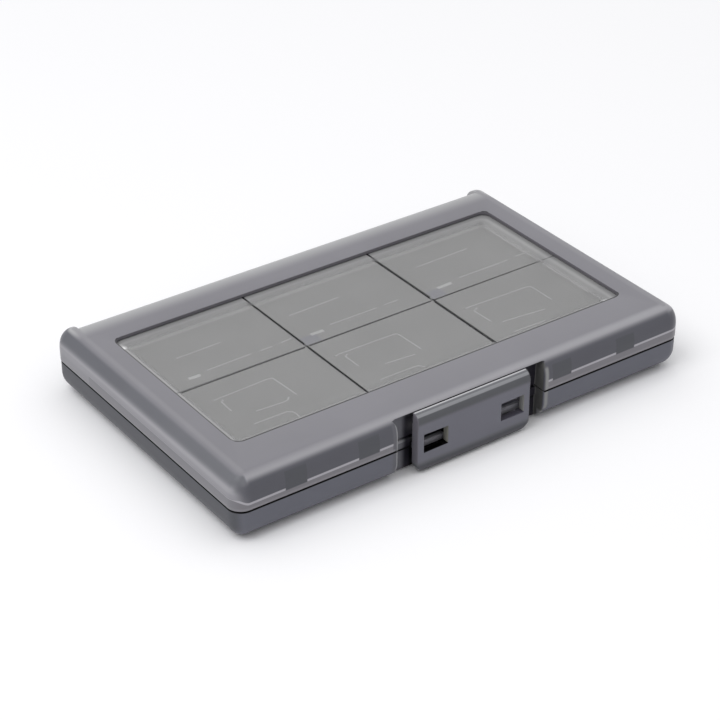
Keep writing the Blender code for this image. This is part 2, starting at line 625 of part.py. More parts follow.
def latch_flap(material):
    """The flap: knuckles on the pin, two windows, and a hook under each window."""
    ends = (-HALF_LATCH, HALF_LATCH)
    body = extruded("latch_flap", latch_profile(LATCH_BACK_Y), ends)
    for index, x in enumerate(both_sides(HALF_LATCH - LATCH_END_WALL, HALF_LATCH)):
        wall = extruded(f"latch_end_{index}", latch_profile(LATCH_FACE_Y + LATCH_END_DEPTH), x)
        join(body, wall)
    combine(body, latch_front(), "INTERSECT")

    lug_room = (LUG_INNER_X - FIT, LUG_INNER_X + LUG_WIDTH + FIT)
    for index, x in enumerate(both_sides(lug_room[1], HALF_LATCH - LATCH_END_WALL / 2)):
        join(body, rod(f"latch_knuckle_{index}", LATCH_KNUCKLE_RADIUS, x, LATCH_AXIS_Y, LATCH_AXIS_Z))
    middle = (-lug_room[0], lug_room[0])
    join(body, rod("latch_knuckle_middle", LATCH_KNUCKLE_RADIUS, middle, LATCH_AXIS_Y, LATCH_AXIS_Z))
    for index, x in enumerate(both_sides(*lug_room)):
        cut(body, rod(f"latch_lug_room_{index}", LATCH_KNUCKLE_RADIUS + CLOSE_FIT, x, LATCH_AXIS_Y, LATCH_AXIS_Z))

    half_window = LATCH_WINDOW_WIDTH / 2
    window_z = (LATCH_WINDOW_Z - LATCH_WINDOW_HEIGHT / 2, LATCH_WINDOW_Z + LATCH_WINDOW_HEIGHT / 2)
    hook_top_z = CATCH_BOTTOM_Z - FIT
    for index, centre in enumerate((LATCH_WINDOW_X, -LATCH_WINDOW_X)):
        x = (centre - half_window, centre + half_window)
        cut(body, box(f"latch_window_{index}", x, (LATCH_FACE_Y - OVERRUN, BAY_Y), window_z))
        hook_y = (LATCH_BACK_Y - MERGE, CATCH_FRONT_Y - HOOK_TIP_GAP)
        join(body, box(f"latch_hook_{index}", x, hook_y, (hook_top_z - LATCH_HOOK_THICKNESS, hook_top_z)))
    bore_x = (LATCH_PIN_WALL - HALF_LATCH, HALF_LATCH + OVERRUN)
    cut(body, rod("latch_bore", LATCH_BORE_RADIUS, bore_x, LATCH_AXIS_Y, LATCH_AXIS_Z))
    return make_piece(body, material)


def latch_pin(material):
    """The steel pin through the latch's knuckles and the lid's lugs."""
    reach = HALF_LATCH - LATCH_PIN_WALL - FIT
    pin = rod("latch_pin", LATCH_PIN_RADIUS, (-reach, reach), LATCH_AXIS_Y, LATCH_AXIS_Z)
    return make_piece(pin, material)


def hinge_pin(name, centre, material):
    reach = BASE_KNUCKLE_WIDTH / 2 + FIT + KNUCKLE_WIDTH - HINGE_PIN_WALL - FIT
    pin = rod(name, HINGE_PIN_RADIUS, (centre - reach, centre + reach), HINGE_Y, HINGE_Z)
    return make_piece(pin, material)


def hang(empty_name, place, pieces, carrier=None):
    """Puts an empty on a joint's axis and hangs the pieces that turn about it from the empty."""
    empty = bpy.data.objects.new(empty_name, None)
    CASE.objects.link(empty)
    empty.empty_display_size = KNUCKLE_WIDTH
    empty.location = place
    if carrier is not None:
        empty.parent = carrier
        empty.location = Vector(place) - carrier.location
    for piece in pieces:
        piece.parent = empty
        piece.matrix_parent_inverse = Matrix.Translation(-Vector(place))
    return empty


clear_scene()
CASE = new_collection("game_card_case")
CUTTERS = new_collection("cutters")

lid_grey = plastic("lid smoke grey", (0.262, 0.258, 0.279), 0.35)
base_grey = plastic("base smoke grey", (0.118, 0.119, 0.136), 0.38)
tray_grey = plastic("tray grey", (0.287, 0.287, 0.287), 0.45)
smoked_clear = plastic("smoked clear sheet", (0.30, 0.30, 0.30), 0.12, alpha=0.35)
pin_steel = plastic("pin steel", (0.55, 0.55, 0.56), 0.3, metallic=1.0)

base_shell(base_grey)
card_tray("base_card_tray", BASE_FLOOR + FIT, 1, tray_grey)
hinge_pin("hinge_pin_left", -HINGE_X, pin_steel)
hinge_pin("hinge_pin_right", HINGE_X, pin_steel)
lid_pieces = [
    lid_shell(lid_grey),
    window_pane(smoked_clear),
    card_tray("lid_card_tray", PANE_BOTTOM_Z - CLOSE_FIT, -1, tray_grey),
    latch_pin(pin_steel),
]
lid_hinge = hang("lid_hinge_axis", (0, HINGE_Y, HINGE_Z), lid_pieces)
hang("latch_hinge_axis", (0, LATCH_AXIS_Y, LATCH_AXIS_Z), [latch_flap(lid_grey)], lid_hinge)
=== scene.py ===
"""A hard clamshell case for small game cards: two smoke-grey shells, a smoked window and a flap latch.

Lengths are in millimetres in the frame of the case: X along the front, the front faces -Y, +Z is up.
"""

import math

import bmesh
import bpy
import numpy as np
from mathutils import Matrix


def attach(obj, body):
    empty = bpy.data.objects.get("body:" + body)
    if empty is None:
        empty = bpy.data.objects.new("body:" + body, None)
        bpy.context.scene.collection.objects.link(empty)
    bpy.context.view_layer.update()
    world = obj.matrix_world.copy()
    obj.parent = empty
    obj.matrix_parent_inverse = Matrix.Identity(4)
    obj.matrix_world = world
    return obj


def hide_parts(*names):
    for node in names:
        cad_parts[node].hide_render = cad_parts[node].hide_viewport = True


# The bare case, as it was built. Everything here fits over it, and its trays, pane and pins stay in
# the picture in new finishes.
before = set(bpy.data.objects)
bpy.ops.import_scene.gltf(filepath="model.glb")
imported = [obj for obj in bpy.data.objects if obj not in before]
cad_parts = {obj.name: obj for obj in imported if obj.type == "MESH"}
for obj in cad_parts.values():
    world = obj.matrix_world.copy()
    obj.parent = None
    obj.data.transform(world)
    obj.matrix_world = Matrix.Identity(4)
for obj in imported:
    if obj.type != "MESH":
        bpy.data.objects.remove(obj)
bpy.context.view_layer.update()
MM = 0.001

# The photographer's camera: a long lens, from the front left and above. It is aimed by its turn and
# its tilt alone, with no shift.
CAMERA_PLACE = (-230.69, -320.08, 249.61)
CAMERA_TURN = -35.486
CAMERA_TILT = 31.91
CAMERA_LENS = 109.44
CAMERA_SENSOR = 36.0
CAMERA_NEAR = 10.0

camera_data = bpy.data.cameras.new("camera")
camera_data.lens = CAMERA_LENS
camera_data.sensor_width = CAMERA_SENSOR
camera_data.clip_start = CAMERA_NEAR * MM
camera = bpy.data.objects.new("camera", camera_data)
camera.location = [length * MM for length in CAMERA_PLACE]
camera.rotation_euler = (math.radians(90 - CAMERA_TILT), 0, math.radians(CAMERA_TURN))
bpy.context.scene.collection.objects.link(camera)
bpy.context.scene.camera = camera
bpy.context.scene.view_settings.view_transform = "Standard"


# The studio: a white room, brightest overhead, and one large soft lamp high on the left.
# The table is a white sheet that runs on out of sight and keeps the case's soft shadow.
ROOM_WHITE = "#ffffff"
ROOM_LOW = 0.15
ROOM_HIGH = 1.1
LAMP_PLACE = (-480.0, -60.0, 760.0)
LAMP_SIZE = 500.0
LAMP_POWER = 2.2
TABLE_WHITE = "#fdfdff"
TABLE_REACH = 3000.0
MERGE_WITHIN = 0.002


def linear(code):
    """An sRGB hex colour as linear red, green and blue, with full alpha."""
    shares = [int(code[place : place + 2], 16) / 255 for place in (1, 3, 5)]
    lit = [share / 12.92 if share <= 0.04045 else ((share + 0.055) / 1.055) ** 2.4 for share in shares]
    return (*lit, 1.0)


def add(tree, kind, sockets=(), **settings):
    """Adds a node with its settings, and fills its sockets, by place or name, with values or links."""
    made = tree.nodes.new(kind)
    for name, value in settings.items():
        setattr(made, name, value)
    for place, value in sockets.items() if isinstance(sockets, dict) else enumerate(sockets):
        if isinstance(value, bpy.types.NodeSocket):
            tree.links.new(value, made.inputs[place])
        elif value is not None:
            made.inputs[place].default_value = value
    return made


def finish(name, **values):
    """A new material with its shader's own values: the material, its node tree and the shader."""
    material = bpy.data.materials.new(name)
    material.use_nodes = True
    shader = material.node_tree.nodes["Principled BSDF"]
    for socket, value in values.items():
        shader.inputs[socket.replace("_", " ")].default_value = value
    return material, material.node_tree, shader


def built(name, points, faces, material):
    """An object from points in millimetres and faces, with its doubles merged and its faces outwards."""
    mesh = bpy.data.meshes.new(name)
    mesh.from_pydata((np.asarray(points) * MM).tolist(), [], faces)
    loose = bmesh.new()
    loose.from_mesh(mesh)
    bmesh.ops.remove_doubles(loose, verts=loose.verts, dist=MERGE_WITHIN * MM)
    bmesh.ops.recalc_face_normals(loose, faces=loose.faces)
    loose.to_mesh(mesh)
    loose.free()
    mesh.materials.append(material)
    piece = bpy.data.objects.new(name, mesh)
    bpy.context.scene.collection.objects.link(piece)
    return piece


world = bpy.data.worlds.new("white room")
world.use_nodes = True
bpy.context.scene.world = world
room = world.node_tree.nodes["Background"]
towards = add(world.node_tree, "ShaderNodeTexCoord")
upward = add(world.node_tree, "ShaderNodeSeparateXYZ", [towards.outputs["Generated"]])
sky = add(
    world.node_tree,
    "ShaderNodeMapRange",
    [upward.outputs["Z"], 0.0, 1.0, ROOM_LOW, ROOM_HIGH],
    interpolation_type="SMOOTHSTEP",
)
paths = add(world.node_tree, "ShaderNodeLightPath")
seen = paths.outputs["Is Camera Ray"]
for kind in ("Is Glossy Ray", "Is Transmission Ray"):
    seen = add(world.node_tree, "ShaderNodeMath", [seen, paths.outputs[kind]], operation="MAXIMUM").outputs[0]
level = add(world.node_tree, "ShaderNodeMix", {0: seen, 2: sky.outputs[0], 3: 1.0})
room.inputs["Color"].default_value = linear(ROOM_WHITE)
world.node_tree.links.new(level.outputs[0], room.inputs["Strength"])

lamp_data = bpy.data.lights.new("soft lamp", "AREA")
lamp_data.shape = "SQUARE"
lamp_data.size = LAMP_SIZE * MM
lamp_data.energy = LAMP_POWER
lamp = bpy.data.objects.new("soft lamp", lamp_data)
lamp.location = [length * MM for length in LAMP_PLACE]
lamp.rotation_euler = lamp.location.to_track_quat("Z", "Y").to_euler()
bpy.context.scene.collection.objects.link(lamp)

white_sheet, _, _ = finish(
    "matt_white_sheet",
    Base_Color=linear(TABLE_WHITE),
    Roughness=1.0,
    Specular_IOR_Level=0.0,
)
table_corners = TABLE_REACH * np.array([(-1, -1, 0), (1, -1, 0), (1, 1, 0), (-1, 1, 0)])
built("table", table_corners, [(0, 1, 2, 3)], white_sheet)


# The base shell, the bottom half: injection-moulded smoke-grey plastic with a satin skin.
# It has a flat underside, soft bottom edges and two ears at the back, and its front opens into the
# latch bay. Its tongue stands up inside the lid's walls.
BASE_HALF = 56.15
BASE_FRONT = -35.3
BASE_BACK = 34.7
BASE_CORNER = 3.1
BASE_RIM = 7.35
BASE_WALL = 1.8
BASE_FLOOR = 1.4
BASE_EDGE = (5.2, 4.7, 2.0)
BASE_INNER_EDGE = (2.4, 3.6, 2.0)
BASE_ROUND = 0.15
CORNER_END = 53.05
LEAST_CORNER = 0.3
EAR_START = 52.4
EAR_STEP = 1.3
BAY_HALF = 18.55
BAY_BACK = -32.3
BAY_INNER = -31.1
BAY_INNER_HALF = 19.75
BAY_DEPTH = 3.1
BAY_BAND = (-32.6, 5.55)
BAY_FILLET = 0.15
BAY_RIM = 0.5
EAR_FILLET = 0.3
TONGUE_OUTER = 1.25
TONGUE_INNER = 2.15
TONGUE_TOP = 8.7
TONGUE_ROOT = 5.35
TONGUE_ROUND = 0.12
# The tongue's crown, as shares across it and drops in shares of its edge's round.
TONGUE_CROWN = ((0.0, 1.0), (0.04, 0.3), (0.13, 0.0), (0.87, 0.0), (0.96, 0.3), (1.0, 1.0))
TONGUE_END = 23.5
TONGUE_TURN = 0.9
TONGUE_FADE = (0.33, 0.67)
TONGUE_GAP = 20.05
FRONT_FIXED = 24.0
SIDE_LOW = -32.2
SIDE_HIGH = 31.6
BEFORE_CORNER = 0.04
CORNER_STEPS = 14
EDGE_STEPS = 14
INNER_STEPS = 8
ROUND_STEPS = 3
FILLET_STEPS = 5
FALL_STEPS = 4
QUARTER = math.pi / 2


def step_samples(place, depth, radius):
    """Places and shares across a step in a wall: 1 before it, 0 after it, with a fillet at each edge.

    Each fillet is a quarter circle of the radius; between them the share falls evenly at one place.
    """
    turn = np.linspace(0, QUARTER, FILLET_STEPS + 1)
    first = np.stack([place - radius * (1 - np.sin(turn)), 1 - radius * (1 - np.cos(turn)) / depth])
    last = np.stack([place + radius * (1 - np.cos(turn)), radius * (1 - np.sin(turn)) / depth])
    fall = np.linspace(first[1, -1], last[1, 0], FALL_STEPS + 1)[1:-1]
    return np.hstack([first, np.stack([np.full(fall.size, place), fall]), last])


# Places along half of the front, half of the back and one side, in the plan of the outer wall, and
# at each the share of the bay, of its inner wall, of the recess between the ears and of the tongue.
BAY_PLACES = 14
FRONT_PLACES = 26
BACK_PLACES = 24
SIDE_PLACES = 28
END_PLACES = 6
HAIR = 0.02
BEFORE_BAY = 1.3
PAST_GAP = 0.6
FRONT_SPARE = 0.5
BEFORE_EAR = 0.8
SIDE_SPAN = (-31.6, 22.0)
SIDE_BACK = (23.51, 31.0)

bay_x, bay_share = step_samples(BAY_HALF, BAY_DEPTH, BAY_FILLET)
near_bay = np.linspace(0, BAY_HALF - BEFORE_BAY, BAY_PLACES)
past_bay = [BAY_INNER_HALF - HAIR, BAY_INNER_HALF, TONGUE_GAP, TONGUE_GAP + 2 * HAIR]
to_corner = np.linspace(TONGUE_GAP + PAST_GAP, CORNER_END - FRONT_SPARE, FRONT_PLACES)
front_x = np.concatenate([near_bay, bay_x, past_bay, to_corner])
front_bay = np.concatenate([np.ones(BAY_PLACES), bay_share, np.zeros(len(past_bay) + FRONT_PLACES)])
front_inner = (front_x < BAY_INNER_HALF - HAIR / 2).astype(float)
front_tongue = (front_x > TONGUE_GAP + HAIR).astype(float)
ear_x, ear_share = step_samples(EAR_START, EAR_STEP, EAR_FILLET)
back_x = np.concatenate([np.linspace(0, EAR_START - BEFORE_EAR, BACK_PLACES), ear_x])
back_recess = np.concatenate([np.ones(BACK_PLACES), ear_share])
end_turn = np.linspace(0, QUARTER, END_PLACES)
to_end = TONGUE_END - TONGUE_TURN * (1 - np.sin(end_turn))
side_y = np.concatenate([np.linspace(*SIDE_SPAN, SIDE_PLACES), to_end, np.linspace(*SIDE_BACK, END_PLACES)])
fading = TONGUE_FADE[0] + TONGUE_FADE[1] * np.cos(end_turn)
side_tongue = np.concatenate([np.ones(SIDE_PLACES), fading, np.zeros(END_PLACES)])


def round_plan(front, side, back, at_corner=(0.0, 0.0)):
    """One value for each place round the plan, from those of half the front, a side and half the back."""
    first = np.full(CORNER_STEPS + 1, at_corner[0])
    second = np.full(CORNER_STEPS + 1, at_corner[1])
    right = [front, first, side, second]
    left = [second, side[::-1], first, front[:0:-1]]
    return np.concatenate([*right, back[::-1], back[1:], *left])


no_front, no_side, no_back = np.zeros(front_x.size), np.zeros(side_y.size), np.zeros(back_x.size)
in_bay = round_plan(front_bay, no_side, no_back)
in_inner_bay = round_plan(front_inner, no_side, no_back)
in_recess = round_plan(no_front, no_side, back_recess)
on_tongue = round_plan(front_tongue, side_tongue, no_back, (1.0, 0.0))


def plan_ring(half, front, back, corner):
    """x and y of a rounded rectangle, anticlockwise from the middle of the front.

    The places near the bay and the ears stay where they are, the others stretch with the straights,
    and each corner is a quarter circle in even steps.
    """
    end_x = half - corner
    low, high = front + corner, back - corner
    stretch = (end_x - FRONT_FIXED) / (CORNER_END - FRONT_FIXED)
    across = np.where(front_x < FRONT_FIXED, front_x, FRONT_FIXED + (front_x - FRONT_FIXED) * stretch)
    behind = back_x * min(1.0, end_x / (back_x[-1] + BEFORE_CORNER))
    up = low + (side_y - SIDE_LOW) / (SIDE_HIGH - SIDE_LOW) * (high - low)
    turn = np.linspace(0, QUARTER, CORNER_STEPS + 1)
    cosine, sine = corner * np.cos(turn), corner * np.sin(turn)
    x = np.concatenate([across, end_x + sine, np.full(up.size, half), end_x + cosine, behind[::-1]])
    ahead = np.full(across.size, front)
    astern = np.full(behind.size, back)
    y = np.concatenate([ahead, low - cosine, up, high + sine, astern])
    return np.concatenate([x, -x[-2:0:-1]]), np.concatenate([y, y[-2:0:-1]])


def shell_row(plan, inset, height, bay=None, shares=in_bay):
    """One ring of a shell, drawn in by an inset at a height. In the bay it moves to the bay's y and z.

    The plan is (half width, front, back, corner radius, step behind the ears, share of the inset at
    the back).
    """
    half, front, back, corner, step, ease = plan
    x, y = plan_ring(half - inset, front + inset, back - inset * ease, max(corner - inset, LEAST_CORNER))
    y = y - step * in_recess
    z = np.full(x.size, float(height))
    if bay is not None:
        y = y + shares * (bay[0] - y)
        z = z + shares * (bay[1] - z)
    return np.stack([x, y, z], axis=1)


def edge_curve(size, turns):
    """Insets and drops along a quarter of a superellipse: (1 - inset/a)^n + (1 - drop/b)^n = 1.

    The turn is 0 where the edge leaves the wall and a quarter where it meets the flat.
    """
    a, b, power = size
    return a * (1 - np.cos(turns) ** (2 / power)), b * (1 - np.sin(turns) ** (2 / power))


def woven(rows, columns, closed=False):
    """The quads of a grid whose columns close on themselves, and its rows too where it says so."""
    i, j = np.meshgrid(np.arange(rows if closed else rows - 1), np.arange(columns), indexing="ij")
    after_i, after_j = (i + 1) % rows, (j + 1) % columns
    quads = [i * columns + j, i * columns + after_j, after_i * columns + after_j, after_i * columns + j]
    return np.stack(quads, axis=-1).reshape(-1, 4).tolist()


def capped(rows):
    """Points and faces of a stack of rings that is closed at both its ends by flat faces."""
    count, columns = rows.shape[:2]
    first = list(range(columns))
    last = list(range((count - 1) * columns, count * columns))
    return rows.reshape(-1, 3), woven(count, columns) + [first, last]


def fitted(piece, body, crease=35, replaced=()):
    """Smooths a piece up to a crease, lets it ride on its body, and hides the built parts it replaces."""
    piece.data.shade_smooth()
    piece.data.set_sharp_from_angle(angle=math.radians(crease))
    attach(piece, body)
    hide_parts(*replaced)


base_plan = (BASE_HALF, BASE_FRONT, BASE_BACK, BASE_CORNER, EAR_STEP, 1.0)
base_inner_plan = (BASE_HALF, BASE_FRONT, BASE_BACK - EAR_STEP, BASE_CORNER, 0.0, 1.0)
base_rows = []
for inset, rise in zip(*edge_curve(BASE_INNER_EDGE, np.linspace(QUARTER, 0, INNER_STEPS + 1))):
    z = BASE_FLOOR + rise
    base_rows.append(shell_row(base_inner_plan, BASE_WALL + inset, z, (BAY_INNER, z), in_inner_bay))
wall_row = shell_row(base_inner_plan, BASE_WALL, 0, (BAY_INNER, 0), in_inner_bay)
inner_row = shell_row(base_inner_plan, TONGUE_INNER, 0, (BAY_INNER, 0), in_inner_bay)
outer_row = shell_row(base_inner_plan, TONGUE_OUTER, 0, (BAY_INNER - BAY_RIM, 0), in_inner_bay)
tongue_inside = wall_row + on_tongue[:, None] * (inner_row - wall_row)
upright = np.array([0, 0, 1])
tongue_lift = on_tongue[:, None] * upright
base_rows.append(wall_row + TONGUE_ROOT * upright)
base_rows.append(tongue_inside + TONGUE_ROOT * upright)
tongue_top = BASE_RIM * upright + (TONGUE_TOP - BASE_RIM) * tongue_lift
across_tongue = outer_row - tongue_inside
for share, drop in TONGUE_CROWN:
    base_rows.append(tongue_inside + share * across_tongue + tongue_top - TONGUE_ROUND * drop * tongue_lift)
base_rows.append(outer_row + BASE_RIM * upright)
for inset, drop in zip(*edge_curve((BASE_ROUND, BASE_ROUND, 2.0), np.linspace(QUARTER, 0, ROUND_STEPS + 1))):
    z = BASE_RIM - drop
    base_rows.append(shell_row(base_plan, inset, z, (BAY_BAND[0] + inset, z)))
base_rows.append(shell_row(base_plan, 0, BAY_BAND[1], BAY_BAND))
base_rows.append(shell_row(base_plan, 0, BAY_BAND[1] - HAIR, (BAY_BACK, BAY_BAND[1])))
for inset, rise in zip(*edge_curve(BASE_EDGE, np.linspace(0, QUARTER, EDGE_STEPS + 1))):
    base_rows.append(shell_row(base_plan, inset, rise, (max(BAY_BACK, BASE_FRONT + inset), rise)))


def placed(tree):
    """The point being coloured, in millimetres: its x, y, z and its distance from the middle along X."""
    coordinates = add(tree, "ShaderNodeTexCoord")
    metres = coordinates.outputs["Object"]
    scaled = add(tree, "ShaderNodeVectorMath", [metres, (1 / MM,) * 3], operation="MULTIPLY")
    split = add(tree, "ShaderNodeSeparateXYZ", [scaled.outputs[0]])
    aside = add(tree, "ShaderNodeMath", [split.outputs["X"]], operation="ABSOLUTE")
    return {"point": scaled.outputs[0], "aside": aside.outputs[0], **dict(zip("xyz", split.outputs))}


def leaning(tree, place, axis, slope):
    """A coordinate that leans along the front: the axis less the slope times x."""
    return add(tree, "ShaderNodeMath", [place["x"], -slope, place[axis]], operation="MULTIPLY_ADD").outputs[0]


def past_window(tree, place):
    """How far a point of the lid lies outside the window's outline; it is negative inside.

    The distance to a rectangle, inset by the corner's radius, less that radius.
    """
    half, front, back, corner = WINDOW[:4]
    reach = (half - corner, (back - front) / 2 - corner, 0.0)
    centred = add(tree, "ShaderNodeVectorMath", [place["point"], (0.0, -(front + back) / 2, 0.0)])
    folded = add(tree, "ShaderNodeVectorMath", [centred.outputs[0]], operation="ABSOLUTE")
    beyond = add(tree, "ShaderNodeVectorMath", [folded.outputs[0], reach], operation="SUBTRACT")
    level = add(tree, "ShaderNodeVectorMath", [beyond.outputs[0], (1.0, 1.0, 0.0)], operation="MULTIPLY")
    outside = add(tree, "ShaderNodeVectorMath", [level.outputs[0], (0.0,) * 3], operation="MAXIMUM")
    length = add(tree, "ShaderNodeVectorMath", [outside.outputs[0]], operation="LENGTH")
    return add(tree, "ShaderNodeMath", [length.outputs["Value"], corner], operation="SUBTRACT").outputs[0]


def share_within(tree, place, strength, spans):
    """The share of a layer at a point: the strength inside all of the spans, and 0 outside any of them.

    A span is a coordinate, its two ends and the softness of each end. The share is the strength
    times, for each span, a smooth rise at the low end times a smooth fall at the high one.
    """
    share = strength
    for axis, low, high, soft in spans:
        for end, way in ((low, 1), (high, -1)):
            if end is None:
                continue
            ends = [end - way * soft / 2, end + way * soft / 2]
            rise = add(tree, "ShaderNodeMapRange", [place[axis], *ends], interpolation_type="SMOOTHSTEP")
            share = add(tree, "ShaderNodeMath", [share, rise.outputs[0]], operation="MULTIPLY").outputs[0]
    return share


def painted(tree, place, colour, layers):
    """A colour with layers over it, each a colour, its strength and the spans it fills."""
    below = linear(colour)
    for over, strength, *spans in layers:
        share = share_within(tree, place, strength, spans)
        mixed = add(tree, "ShaderNodeMix", {0: share, 6: below, 7: linear(over)}, data_type="RGBA")
        below = mixed.outputs[2]
    return below


# The mould's grain, drawn coarser than the real one, which is too fine to show, and its flow marks.
GRAIN = 0.35
GRAIN_HEIGHT = 0.02
NOISE_SPAN = (0.3, 0.7)
FLOW_TONE = (0.965, 1.035)
FLOW_WEAR = 0.04


def moulded(tree, place, shader, colour, flow, roughness, lift=0.25):
    """Gives a shader a moulded skin over its colour.

    The fine grain of the mould is a noise that lifts the surface a little, by its share of a set height.
    Flow marks are a broad noise that changes the colour by a few hundredths and the roughness with it.
    """
    marks = add(tree, "ShaderNodeTexNoise", {"Vector": place["point"], "Scale": 1 / flow, "Detail": 3.0})
    shade = add(tree, "ShaderNodeMapRange", [marks.outputs["Fac"], *NOISE_SPAN, *FLOW_TONE])
    toned = add(tree, "ShaderNodeVectorMath", [colour, shade.outputs[0]], operation="MULTIPLY")
    tree.links.new(toned.outputs[0], shader.inputs["Base Color"])
    dull = (roughness - FLOW_WEAR, roughness + FLOW_WEAR)
    worn = add(tree, "ShaderNodeMapRange", [marks.outputs["Fac"], *NOISE_SPAN, *dull])
    tree.links.new(worn.outputs[0], shader.inputs["Roughness"])
    fine = add(tree, "ShaderNodeTexNoise", {"Vector": place["point"], "Scale": 1 / GRAIN, "Detail": 2.0})
    relief = {"Strength": lift, "Distance": GRAIN_HEIGHT * MM, "Height": fine.outputs["Fac"]}
    lifted = add(tree, "ShaderNodeBump", relief)
    tree.links.new(lifted.outputs[0], shader.inputs["Normal"])


# Smoke-grey ABS, moulded against a satin-blasted tool: an even grey with a dull sheen. Its colour carries
# painted shade on its left end, under its edges, in the parting line and in the latch bay, which is painted
# darkest on the left and below the band. It carries painted light on the bay's edges, along the band's top,
# on the catch bars and on the bay's right side.
base_smoke, tree, shader = finish("smoke_grey_base_abs", IOR=1.5, Specular_IOR_Level=0.2)
place = placed(tree)
BASE_IN_BAY = ("y", -32.9, -31.0, 0.5)
base_colour = painted(
    tree,
    place,
    "#666770",
    [
        ("#55565b", 1.0, ("x", None, -55.0, 1.6)),
        ("#3c3b42", 0.9, ("z", None, 0.9, 1.6)),
        ("#626268", 1.0, ("x", -19.7, -18.4, 0.5), ("y", None, -34.6, 0.2)),
        ("#8a8a8d", 1.0, ("x", -18.9, -18.3, 0.06), ("y", None, -34.6, 0.2)),
        ("#868686", 1.0, ("x", 18.8, 19.6, 0.5), ("y", None, -34.9, 0.4)),
        ("#080809", 1.0, ("z", 7.22, 7.95, 0.08), ("y", None, 33.0, 0.1), ("aside", 18.7, None, 0.2)),
        ("#74747a", 1.0, ("aside", None, 18.6, 0.1), BASE_IN_BAY),
        ("#9a9a9e", 1.0, ("aside", None, 18.6, 0.1), BASE_IN_BAY, ("z", 6.8, None, 0.1)),
        ("#24222a", 1.0, ("x", -15.2, None, 1.6), ("x", None, 18.5, 0.4), BASE_IN_BAY),
        ("#050506", 1.0, ("aside", None, 18.6, 0.1), BASE_IN_BAY, ("z", 4.75, 5.15, 0.1)),
        ("#0b0b0e", 1.0, ("x", -13.6, 3.0, 0.4), BASE_IN_BAY),
        ("#84828c", 1.0, ("x", 5.0, 13.6, 0.4), BASE_IN_BAY),
        ("#5c5c5b", 1.0, ("x", 18.4, 19.0, 0.2), ("y", -34.9, -32.2, 0.3)),
        ("#8a8a8c", 1.0, ("x", 18.4, 19.0, 0.2), ("y", -34.9, -33.2, 0.4), ("z", None, 2.4, 0.8)),
        ("#8e8d94", 1.0, ("aside", 5.9, 13.5, 0.1), ("y", -34.1, -33.2, 0.1), ("z", 4.6, 6.5, 0.1)),
    ],
)
moulded(tree, place, shader, base_colour, flow=14.0, roughness=0.42)
base_shell = built("base_shell_moulding", *capped(np.stack(base_rows)), base_smoke)
fitted(base_shell, "base", replaced=["base_shell"])


# Small mouldings of the base: the two catch bars that the latch's hooks grip, the four snap hooks
# that hold the tray down, and the round hinge knuckles. All are one moulding with the shell.
# Boxes are given as two y and two z, and hooks as the wall's x and two z.
CATCH = (-33.9, -31.9, 4.8, 6.3)
CATCH_SPANS = [(6.0, 13.4), (-13.4, -6.0)]
CATCH_ROUND = 0.25
HOOK_TIP = 51.65
HOOK_SLOPE = 0.5
HOOK_THIN = 0.3
HOOK_Y = ((-18.5, -12.5), (11.5, 17.5))
BASE_HOOK = (54.6, 2.9, 3.7)
HINGE_Y = 34.95
HINGE_Z = 7.5
KNUCKLE_RADIUS = 1.25
KNUCKLE_BORE = 0.65
KNUCKLE_ROUND = 0.1
KNUCKLE_ROOT = -1.85
KNUCKLE_SIDES = 72
ROOT_START = 0.08
NEARLY_NONE = 1e-6
BASE_KNUCKLES = [(37.0, 43.0), (-37.0, -43.0)]
BLIND_PAST = 40.0
BLIND_WALL = 0.8
BOX_STEPS = 4
END_DRAW = 0.12


def joined(parts):
    """Several sets of points and faces as one set."""
    points = np.concatenate([part[0] for part in parts])
    starts = np.cumsum([0] + [len(part[0]) for part in parts])
    faces = []
    for (_, own), start in zip(parts, starts):
        faces += [[int(start + corner) for corner in face] for face in own]
    return points, faces


def softened_box(y, z, radius):
    """The outline of a rectangle in (y, z) whose front two corners are quarter circles."""
    turn = np.linspace(0, QUARTER, BOX_STEPS + 1)
    top = np.stack([y[0] + radius * (1 - np.sin(turn)), z[1] - radius * (1 - np.cos(turn))], axis=1)
    foot = np.stack([y[0] + radius * (1 - np.cos(turn)), z[0] + radius * (1 - np.sin(turn))], axis=1)
    return np.vstack([top, foot, [(y[1], z[0]), (y[1], z[1])]])


def carried(outline, spans, axis=0, edge=END_DRAW):
    """An outline carried straight along X, or along Y, over each span.

    Each end draws in by the edge over the edge's own length, towards the outline's middle.
    """
    middle = outline.mean(axis=0)
    size = np.abs(outline - middle).max(axis=0)
    small = middle + (outline - middle) * (1 - edge / size)
    parts = []
    for low, high in spans:
        rows = [(small, low), (outline, low + edge), (outline, high - edge), (small, high)]
        parts.append(capped(np.stack([np.insert(ring, axis, place, axis=1) for ring, place in rows])))
    return joined(parts)


